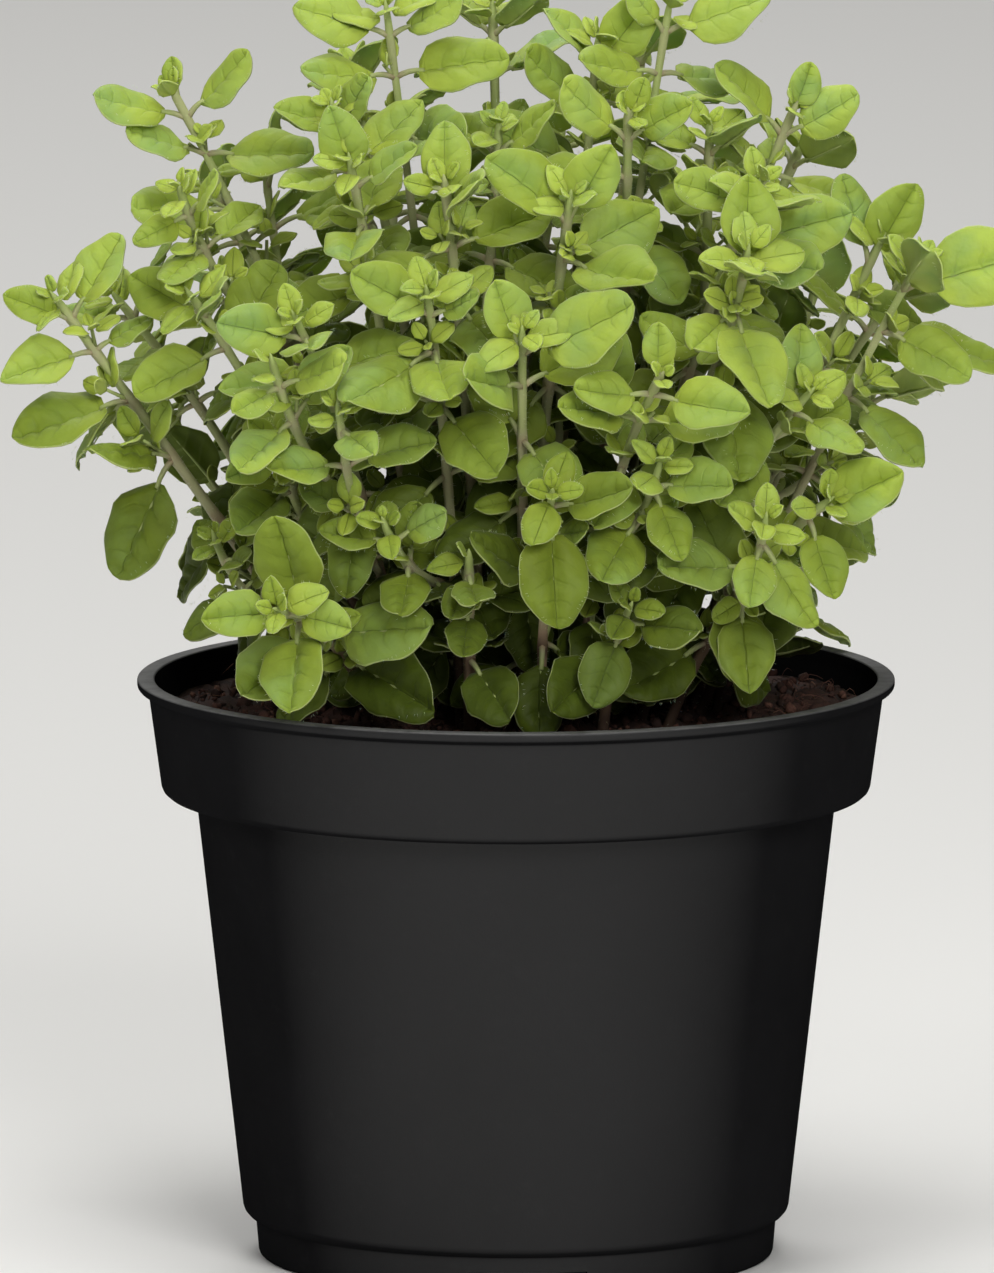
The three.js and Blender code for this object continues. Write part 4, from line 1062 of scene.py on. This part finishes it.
# %% Body of the soil
SOIL_STEPS, SOIL_TOP_RINGS = 160, 38
CLOD_SIZE, CLOD_HEIGHT, SOIL_EDGE = 3.2, 1.3, 61.2
section = [
    (0, BASE_HEIGHT + WALL + GAP, 0),
    (FOOT_TOP_RADIUS - WALL - 2 * GAP, BASE_HEIGHT + WALL + GAP, 0),
    (BODY_TOP_RADIUS - WALL - GAP, BAND_FOOT_HEIGHT + WALL + GAP, 0),
    (BAND_FOOT_RADIUS - WALL - GAP, BAND_FOOT_HEIGHT + WALL + 1.2, 0),
]
section += [(SOIL_EDGE * (1 - i / SOIL_TOP_RINGS), SOIL_LEVEL, 0) for i in range(SOIL_TOP_RINGS)]
section.append((0, SOIL_LEVEL, 0))
soil_body = spun(section, SOIL_STEPS)
for vert in soil_body.verts:
    if vert.co.z > SOIL_LEVEL - 0.5:
        x, y, r = vert.co.x, vert.co.y, math.hypot(vert.co.x, vert.co.y)
        at = Vector((x / CLOD_SIZE, y / CLOD_SIZE, 0))
        clod = noise.noise(at) + 0.5 * noise.noise(at * 2.3) + 0.35 * noise.noise(at * 5.1)
        fade = min(1, (SOIL_EDGE - r) / 2 + 0.35)
        vert.co.z = soil_height(x, y) + CLOD_HEIGHT * clod * fade
soil_tones = [0.45 + 0.5 * noise.noise(v.co * 0.35) for v in soil_body.verts]

# %% Crumbs and fibres
CRUMBS, FIBRES = 1500, 350
crumb_shape = bmesh.new()
bmesh.ops.create_icosphere(crumb_shape, subdivisions=1, radius=1)
crumb = Template(crumb_shape)
scatter = random.Random(11)


def on_soil():
    """A place on the soil's surface."""
    r, a = SOIL_EDGE * 0.985 * math.sqrt(scatter.random()), scatter.uniform(0, 2 * math.pi)
    x, y = r * math.cos(a), r * math.sin(a)
    return np.array((x, y, float(soil_height(x, y))))


soil_copies = Copies()
for _ in range(CRUMBS):
    size = 0.25 + 1.1 * scatter.random() ** 3
    turn = np.array(Matrix.Rotation(scatter.uniform(0, 6.28), 3,
                    Vector([scatter.uniform(-1, 1) for _ in range(3)]).normalized()))
    squash = np.array([scatter.uniform(0.6, 1.3) for _ in range(3)])
    rough = np.array([scatter.uniform(0.7, 1.25) for _ in crumb.points])[:, None]
    places = (crumb.points * rough * squash * size) @ turn.T
    soil_copies.add(crumb, places + on_soil() + UP * (0.25 + size * 0.35),
                    scatter.uniform(0.15, 0.95))
for _ in range(FIBRES):
    start, heading = on_soil(), scatter.uniform(0, 6.28)
    length, thick = scatter.uniform(1.5, 5), scatter.uniform(0.05, 0.13)
    bend, rise = scatter.uniform(-2.5, 2.5), scatter.uniform(0.2, 2.2)
    x, y, z = fibre_tube.points.T
    ahead = z - 0.5
    angle = heading + bend * ahead
    middle = np.stack([np.cos(angle) * ahead * length, np.sin(angle) * ahead * length,
                       0.4 + rise * np.sin(z * 3.14)], 1)
    around = np.stack([-np.sin(angle) * x, np.cos(angle) * x, y], 1) * thick
    soil_copies.add(fibre_tube, start + middle + around, scatter.uniform(0.3, 1.0))

body_mesh = as_mesh(soil_body)
body_mesh.attributes.new("tone", "FLOAT", "POINT").data.foreach_set("value", soil_tones)
whole = bmesh.new()
for part in (body_mesh, soil_copies.mesh()):
    whole.from_mesh(part)
soil = finished("peat_soil", as_mesh(whole), [peat], ["soil"])
print("soil:", triangle_count(soil.data), "triangles")

# %% [markdown]
# ## Blades
# A blade's points get their places from the leaf's own directions. Across, the columns crowd near
# the rib and the edge, where the surface bends most. Along, the rows follow the side veins, which
# lie a little lower than the leaf between them: on a large blade every third row is a vein. The
# edge rolls down, and a slow wave keeps each leaf from being a copy of the next.

# %% Shaping a blade
COLUMN_PLACES = [0, 0.09, 0.36, 0.66, 0.9, 1]
VEIN_BEND = 1.9
VEIN_DEPTH, RIB_DEPTH, PILLOW = 0.034, 0.05, 0.045  # shares of the blade's length
EDGE_ROLL, EDGE_WAVE, THICKNESS = 0.045, 0.03, 0.26
FIRST_ROW, LAST_ROW = 0.004, 0.997
FULL_SHAPE, FULL_EDGE = 0.82, 0.56  # make the outline rounder at its tip than the plain blade's
SHARPEST = 0.13  # how much sharper or blunter than that one leaf's tip may be
FOLD, TWIST, SWAY, LOPSIDED, DROOP, NOTCHED = 0.22, 0.5, 0.07, 0.09, 0.12, 0.03


def full_width(u, sharper):
    edge = FULL_EDGE + SHARPEST * sharper
    return HALF_WIDTH * np.sin(np.pi * np.clip(u, 0, 1) ** FULL_SHAPE).clip(0) ** edge


def shape_blade(leaf, template, picker, quilt):
    """Places for a blade template's points on a leaf, each with whims of its own."""
    fold, twist, sway, lopsided, droop, phase, sharper = [picker.uniform(-1, 1) for _ in range(7)]
    x, y, z = template.points.T
    steps = np.linspace(0, 1, len(COLUMN_PLACES))
    v = np.sign(x) * np.interp(np.abs(x), steps, COLUMN_PLACES)
    s = (y + 1) / 2
    r = np.clip(s - 0.05 * np.sin(2 * np.pi * s), FIRST_ROW, LAST_ROW)
    u = r + VEIN_BEND * r * (1 - r) ** 2 * np.abs(v) ** 1.1
    across = full_width(u, sharper) * v * (1 + LOPSIDED * lopsided * np.sign(v))
    across *= 1 + NOTCHED * quilt * np.sin(2 * np.pi * (2.5 * u + phase)) * v * v
    fade = np.sin(np.pi * np.clip(s, 0, 1)) ** 0.5
    vein = 0.5 + 0.5 * np.cos(2 * np.pi * (template.veins * s - VEIN_PLACE))
    level = (leaf.cup + FOLD * fold) * np.sqrt(across**2 + 0.0009)
    level -= (leaf.curl + DROOP * droop) * u * u
    level += PILLOW * np.sin(np.pi * np.abs(v) ** 0.8) * fade
    level -= VEIN_DEPTH * quilt * vein * fade * (1 - np.abs(v) ** 3)
    level -= RIB_DEPTH * np.exp(-((across / 0.045) ** 2)) * fade
    level -= EDGE_ROLL * np.abs(v) ** 5 * fade
    level += EDGE_WAVE * np.sin(2 * np.pi * (1.5 * u + phase + 0.2 * np.sign(v))) * v * v
    level += TWIST * twist * across * (u - 0.3)
    aside = across + SWAY * sway * u * u
    middle = leaf.base + leaf.length * (spread(u, leaf.along)
             + spread(aside, leaf.side) + spread(level, leaf.face))
    return middle + spread(z * THICKNESS / 2, leaf.face)


RIB_SHARE, RIB_THICK, RIB_THIN = 0.7, 0.36, 0.1


def shape_rib(leaf, template, blade):
    """Places for a stalk tube's points along the underside of a shaped blade's rib."""
    under = np.flatnonzero((np.abs(template.points[:, 0]) < 0.01) & (template.points[:, 2] < 0))
    under = under[np.argsort(template.points[under, 1])]
    x, y, z = stalk_tube.points.T
    rows = np.linspace(0, 1, len(under))
    line = np.stack([np.interp(z * RIB_SHARE, rows, blade[under, k]) for k in range(3)], 1)
    thick = RIB_THICK + (RIB_THIN - RIB_THICK) * z
    return (line + spread(x * thick, leaf.side)
            + spread((y - 0.7) * thick, leaf.face))


def spikes(copies, roots, ways, length, thick, tones, picker):
    """Hairs from roots, each along its way."""
    for root, way in zip(roots, ways):
        lean = unit(way + np.array([picker.uniform(-0.35, 0.35) for _ in range(3)]))
        first = unit(np.cross(lean, UP + ACROSS * 0.1))
        second = np.cross(lean, first)
        x, y, z = hair_spike.points.T
        reach = length * picker.uniform(0.6, 1.25)
        places = root + spread(x * thick, first) + spread(y * thick, second)
        copies.add(hair_spike, places + spread(z * reach, lean), tones)


def edge_hairs(copies, leaf, count, picker):
    """A fringe of hairs round a blade's edge."""
    u = np.array([picker.uniform(0.04, 0.99) for _ in range(count)])
    v = np.array([picker.choice((-1.0, 1.0)) for _ in range(count)])
    roots = leaf.on_blade(u, v) - leaf.face * leaf.length * EDGE_ROLL * 0.8
    ways = spread(v, leaf.side) + spread(u * 0.9 - 0.2, leaf.along)
    spikes(copies, roots - ways * 0.1, ways, 0.6, 0.035, picker.uniform(0.4, 1), picker)


# %% [markdown]
# ## Tips and tufts
# Every shoot ends in pairs of young leaves that still hug the bud, and tufts of tiny leaves sit in
# the angles between the stem and its older leaves. The plain model leaves them out, because they
# are small. They follow the same rule, with draws of their own.

# %% Young leaves
TIP_PAIRS = [  # distance beyond the tip, size, lift in degrees, turn in degrees
    (-0.8, 0.5, 24, 0), (0.6, 0.36, 42, 90), (1.6, 0.25, 60, 0),
]
YOUNG_CUP, YOUNG_CURL = 0.12, 0.14
FACE_THE_LIGHT, TIP_GAP = 0.55, 0.6
STALK_SAMPLES = 12  # how many of a leaf's samples lie on its stalk and the foot of its blade
growth = random.Random(5)


def young_leaf(shoot_index, point, tangent, azimuth, lift, length, stalk=0.3):
    """A small leaf whose face looks along its stem."""
    out = away_from_stem(tangent, azimuth)
    along = unit(out * math.cos(lift) + tangent * math.sin(lift))
    face = unit(tangent - along * (tangent @ along) + FRONT * 0.15)
    face = unit(face - along * (face @ along))
    leaf = Leaf(shoot=shoot_index, order=0, point=point, tangent=tangent, out=out, along=along,
                face=face, side=np.cross(along, face), length=length, hang=0,
                cup=YOUNG_CUP * growth.uniform(0.7, 1.2), curl=YOUNG_CURL * growth.uniform(0, 2))
    leaf.base = point + out * 0.35 + along * (stalk + length * 0.08)
    return leaf.take_samples()


tip_leaves, tuft_leaves = [], []
for index, shoot in enumerate(shoots):
    end, tangent = shoot.controls[2], shoot.tangent(1)
    placed = any(leaf.shoot == index and leaf.order == 0 for leaf in leaves)
    axis = unit(tangent + light_at(end, False) * FACE_THE_LIGHT)
    for beyond, size, lift, turn in TIP_PAIRS[1:] if placed else TIP_PAIRS:
        for half in (0, 180):
            azimuth = math.radians(shoot.turn + turn + half + growth.uniform(-20, 20))
            length = shoot.blade * size * growth.uniform(0.75, 1.15)
            lifted = math.radians(lift + growth.uniform(-12, 12))
            leaf = young_leaf(index, end + tangent * beyond, axis, azimuth, lifted, length)
            if all(o.shoot == index or clear_of_leaf(leaf, o, TIP_GAP) for o in leaves):
                tip_leaves.append(leaf)

TUFT_CHANCE, INNER_TUFT_CHANCE = 0.65, 0.2
TUFT_PAIRS = ((1.0, 32, 0.7), (0.66, 56, 1.0))  # size, lift, place on the stalk
TUFT_BLADE, TUFT_GAP, TUFT_REACH = 3.6, 0.5, 9
for leaf in leaves:
    chance = TUFT_CHANCE if leaf.shoot < inner_first else INNER_TUFT_CHANCE
    if leaf.order < 2 or growth.random() > chance:
        continue
    axis = leaf.out * growth.uniform(0.5, 1.0) + leaf.tangent
    axis = unit(axis + light_at(leaf.point, False) * 0.4)
    start = leaf.point + leaf.out * 0.5 + leaf.tangent * 0.7
    stalk = growth.uniform(0.4, 1.8) * leaf.order
    blade = TUFT_BLADE + growth.uniform(0.3, 1.1) * min(leaf.order, 5)
    turn = growth.uniform(0, 90)
    for rank, (size, lift, place) in enumerate(TUFT_PAIRS):
        for half in (0, 180):
            point = start + axis * stalk * place
            small = young_leaf(leaf.shoot, point, axis, math.radians(turn + 90 * rank + half),
                               math.radians(lift + growth.uniform(-10, 10)),
                               blade * size * growth.uniform(0.8, 1.15), stalk=0.2)
            small.order = max(0, leaf.order - 2)
            small.tuft_start, small.rank = start, rank
            near = [o for o in leaves if math.dist(o.base, small.base) < o.length + TUFT_REACH]
            beyond_stalk = small.samples[STALK_SAMPLES:]
            crossed = any(o.near(beyond_stalk, TUFT_GAP).any() for o in near)
            if clear_of_pot(small.samples) and not crossed:
                tuft_leaves.append(small)
print("tip leaves:", len(tip_leaves), "tuft leaves:", len(tuft_leaves))

# %% [markdown]
# ## Stems
# Mints have square stems. The tube template has eight sides, and every second point is pulled in,
# which gives a square with rounded corners. The stem swells a little where a pair of leaves grows,
# and its colour ages towards its foot and is painted darker near the soil, as painted shade. Stalks
# are thin bowed tubes from the stem to each blade.

# %% Shaping stems and stalks
FLAT_SHARE = 0.8  # a flat side's distance from the middle, as a share of a corner's
NODE_SWELL, NODE_REACH = 0.28, 1.3
NODE_AGE, NODE_AGE_REACH = 0.25, 1.6
BUD_SHARE = 0.93  # the tube's last part is the bud
BUD_BEYOND = BUD_LENGTH * 0.8
# Stems are painted darker from this height down to the soil, as painted shade under the leaves
SHADE_BELOW, SHADE_DEPTH = 122, 24  # stems darken from this height down to the soil


def shape_stem(shoot, node_shares):
    """Places and ages for a stem tube's points along a shoot."""
    x, y, z = stem_tube.points.T
    share = np.clip(z / BUD_SHARE, 0, 1)
    beyond = np.clip((z - BUD_SHARE) / (1 - BUD_SHARE), 0, 1) * BUD_BEYOND
    middles = shoot.at(share)
    tangents = np.array([shoot.tangent(float(s)) for s in share])
    middles = middles + tangents * beyond[:, None]
    first = ACROSS - tangents * (tangents @ ACROSS)[:, None]
    first /= np.linalg.norm(first, axis=1)[:, None]
    second = np.cross(tangents, first)
    angle = np.arctan2(y, x)
    side = np.round(angle / (math.pi / 4)).astype(int)
    radius = shoot.thickness(share) * np.where(side % 2 == 0, 1.0, FLAT_SHARE)
    age_and_shade = (0.35 if shoot.is_branch else 0.75) * (1 - share)
    # Painted shade: darker from that height down to the soil
    age_and_shade = age_and_shade + 0.45 * np.clip((SHADE_BELOW - middles[:, 2]) / SHADE_DEPTH, 0, 1)
    for node in node_shares:
        away = (share - node) * shoot.length
        radius = radius * (1 + NODE_SWELL * np.exp(-((away / NODE_REACH) ** 2)))
        age_and_shade = age_and_shade + NODE_AGE * np.exp(-((away / NODE_AGE_REACH) ** 2))
    radius = radius * (1 - np.clip(beyond / BUD_BEYOND, 0, 1) ** 1.5 * 0.85)
    turn = angle + math.radians(shoot.turn + 45)
    places = middles + first * (radius * np.cos(turn))[:, None]
    return places + second * (radius * np.sin(turn))[:, None], age_and_shade


def shape_stalk(start, end, lift, thick_start, thick_end):
    """Places for a stalk tube's points between two places, bowed by a lift."""
    x, y, z = stalk_tube.points.T
    way = end - start
    bow = spread(4 * z * (1 - z), lift)
    first = unit(np.cross(way, UP + ACROSS * 0.01))
    second = unit(np.cross(first, way))
    thick = thick_start + (thick_end - thick_start) * z
    return (start + spread(z, way) + bow + spread(x * thick, first)
            + spread(y * thick, second))


# %% [markdown]
# Every leafy stem of the plain model is now replaced by two pieces, one with its leaves and one with
# its stems, stalks and ribs. The inner shoots have number 0 and stand for nothing in the plain
# model. A leaf's tone comes from where it grows: the outside and the top are painted paler, as
# painted light, and what is low or deep inside is painted darker, as painted shade. Leaves far down
# their own stem are older and darker, and darker still where they are low and hidden, as painted
# shade.

# %% Building each leafy stem
STEM_HAIRS_PER_MM = 2
EDGE_HAIRS_PER_MM, SPARSE_HAIRS_PER_MM, YOUNG_HAIRS_PER_MM = 1.8, 0.6, 2
SMALL_LEAF, TINY_LEAF = 7, 5.4
CROWN_MIDDLE, CROWN_SIZE = (0, 0, 115), (85, 60, 100)
HIGH_FROM, HIGH_DEPTH, LOW_DEPTH = 160, 40, 50
fuzz = random.Random(3)
totals = {"leaves": 0, "stems": 0}


def leaf_tone(leaf):
    """How young and well lit a leaf is, from 0 to 1."""
    # Paler outside and high up, darker low down and deep inside: painted light and shade
    outside = math.hypot(*((leaf.base - CROWN_MIDDLE) / CROWN_SIZE))
    low = min(max((HIGH_FROM - leaf.base[2]) / LOW_DEPTH, 0), 1)
    high = min(max((leaf.base[2] - HIGH_FROM) / HIGH_DEPTH, 0), 1)
    shown = min(outside, 1) ** 2
    tone = 0.33 + 0.48 * shown + 0.08 * high - 0.18 * low + shoots[leaf.shoot].tone
    tone -= (0.04 + 0.06 * low) * (1 - 0.6 * shown) * leaf.order
    return min(max(tone + fuzz.uniform(-0.13, 0.13), 0.05), 0.92)


def add_young(blades, leaf, shape, paler):
    blade = shape_blade(leaf, shape, fuzz, 0.4)
    blades.add(shape, blade, min(1, leaf_tone(leaf) + paler), fuzz.uniform(0, 0.4))


for number in range(0, len(STEMS) + 1):
    nodes = [f"leafy_stem_{number:02d}"] if number else []
    own = [i for i, shoot in enumerate(shoots) if shoot.number == number]
    blades, stalks = Copies(), Copies()
    for i in own:
        shoot = shoots[i]
        node_shares = sorted({round(leaf.share, 4) for leaf in leaves if leaf.shoot == i})
        places, age_and_shade = shape_stem(shoot, node_shares)
        stalks.add(stem_tube, places, age_and_shade)
        count = int(shoot.length * STEM_HAIRS_PER_MM)
        shares = np.array([fuzz.uniform(0.02, 1) for _ in range(count)])
        roots, ways = [], []
        for share in shares:
            way = away_from_stem(shoot.tangent(share), fuzz.uniform(0, 2 * math.pi))
            roots.append(shoot.at(share) + way * shoot.thickness(share) * 0.75)
            ways.append(way)
        spikes(stalks, roots, ways, 0.85, 0.028, 0.7, fuzz)
    for leaf in leaves:
        if leaf.shoot not in own:
            continue
        tone = leaf_tone(leaf)
        plain = number and leaf.order < shoots[leaf.shoot].pairs
        shape = tip_blade
        if leaf.length > SMALL_LEAF:
            shape = big_blade if plain else shade_blade
        quilt = min(0.45 + 0.35 * leaf.order, 1.7)
        blade = shape_blade(leaf, shape, fuzz, quilt)
        blades.add(shape, blade, tone, fuzz.uniform(0.1, 0.9))
        hairs_per_mm = EDGE_HAIRS_PER_MM if plain else SPARSE_HAIRS_PER_MM
        edge_hairs(blades, leaf, int(hairs_per_mm * leaf.length), fuzz)
        start = shoots[leaf.shoot].at(leaf.share)
        end = leaf.base + leaf.along * leaf.length * 0.06 - leaf.face * 0.15
        lift = leaf.tangent * leaf.length * 0.03
        pinkness = 0.1 + (0.45 + 0.2 * (1 - tone)) * (1 - stalk_tube.points[:, 2]) ** 2
        stalks.add(stalk_tube, shape_stalk(start, end, lift, 0.62, 0.42), pinkness)
        stalks.add(stalk_tube, shape_rib(leaf, shape, blade), 0.1)
    for leaf in tip_leaves:
        if leaf.shoot in own:
            add_young(blades, leaf, tip_blade, 0.12)
            edge_hairs(blades, leaf, int(YOUNG_HAIRS_PER_MM * leaf.length), fuzz)
    for leaf in tuft_leaves:
        if leaf.shoot in own:
            add_young(blades, leaf, tip_blade if leaf.length > TINY_LEAF else tiny_blade, 0.16)
            if leaf.rank == 0:
                end = leaf.point + leaf.tangent * 1.5
                stalks.add(stalk_tube, shape_stalk(leaf.tuft_start, end, UP * 0, 0.4, 0.3), 0.1)
    leaf_piece = finished(f"leaves_{number:02d}", blades.mesh(), [leaf_upper, leaf_under, hair],
                          nodes)
    stem_piece = finished(f"stems_{number:02d}", stalks.mesh(), [stem_skin, stem_skin, hair],
                          nodes)
    totals["leaves"] += triangle_count(leaf_piece.data)
    totals["stems"] += triangle_count(stem_piece.data)
print("triangles:", totals)

# %% [markdown]
# ## Size
# The box of the plain model and the box of the finished plant are printed side by side. The
# finished plant has to fill the same box as the plain one, to within a few per cent.

# %% Print the two boxes and finish
boxes = {"cad": cad_box, "visual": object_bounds()}
plain = {key: [[float(c) for c in corner] for corner in box] for key, box in boxes.items()}
print(plain)
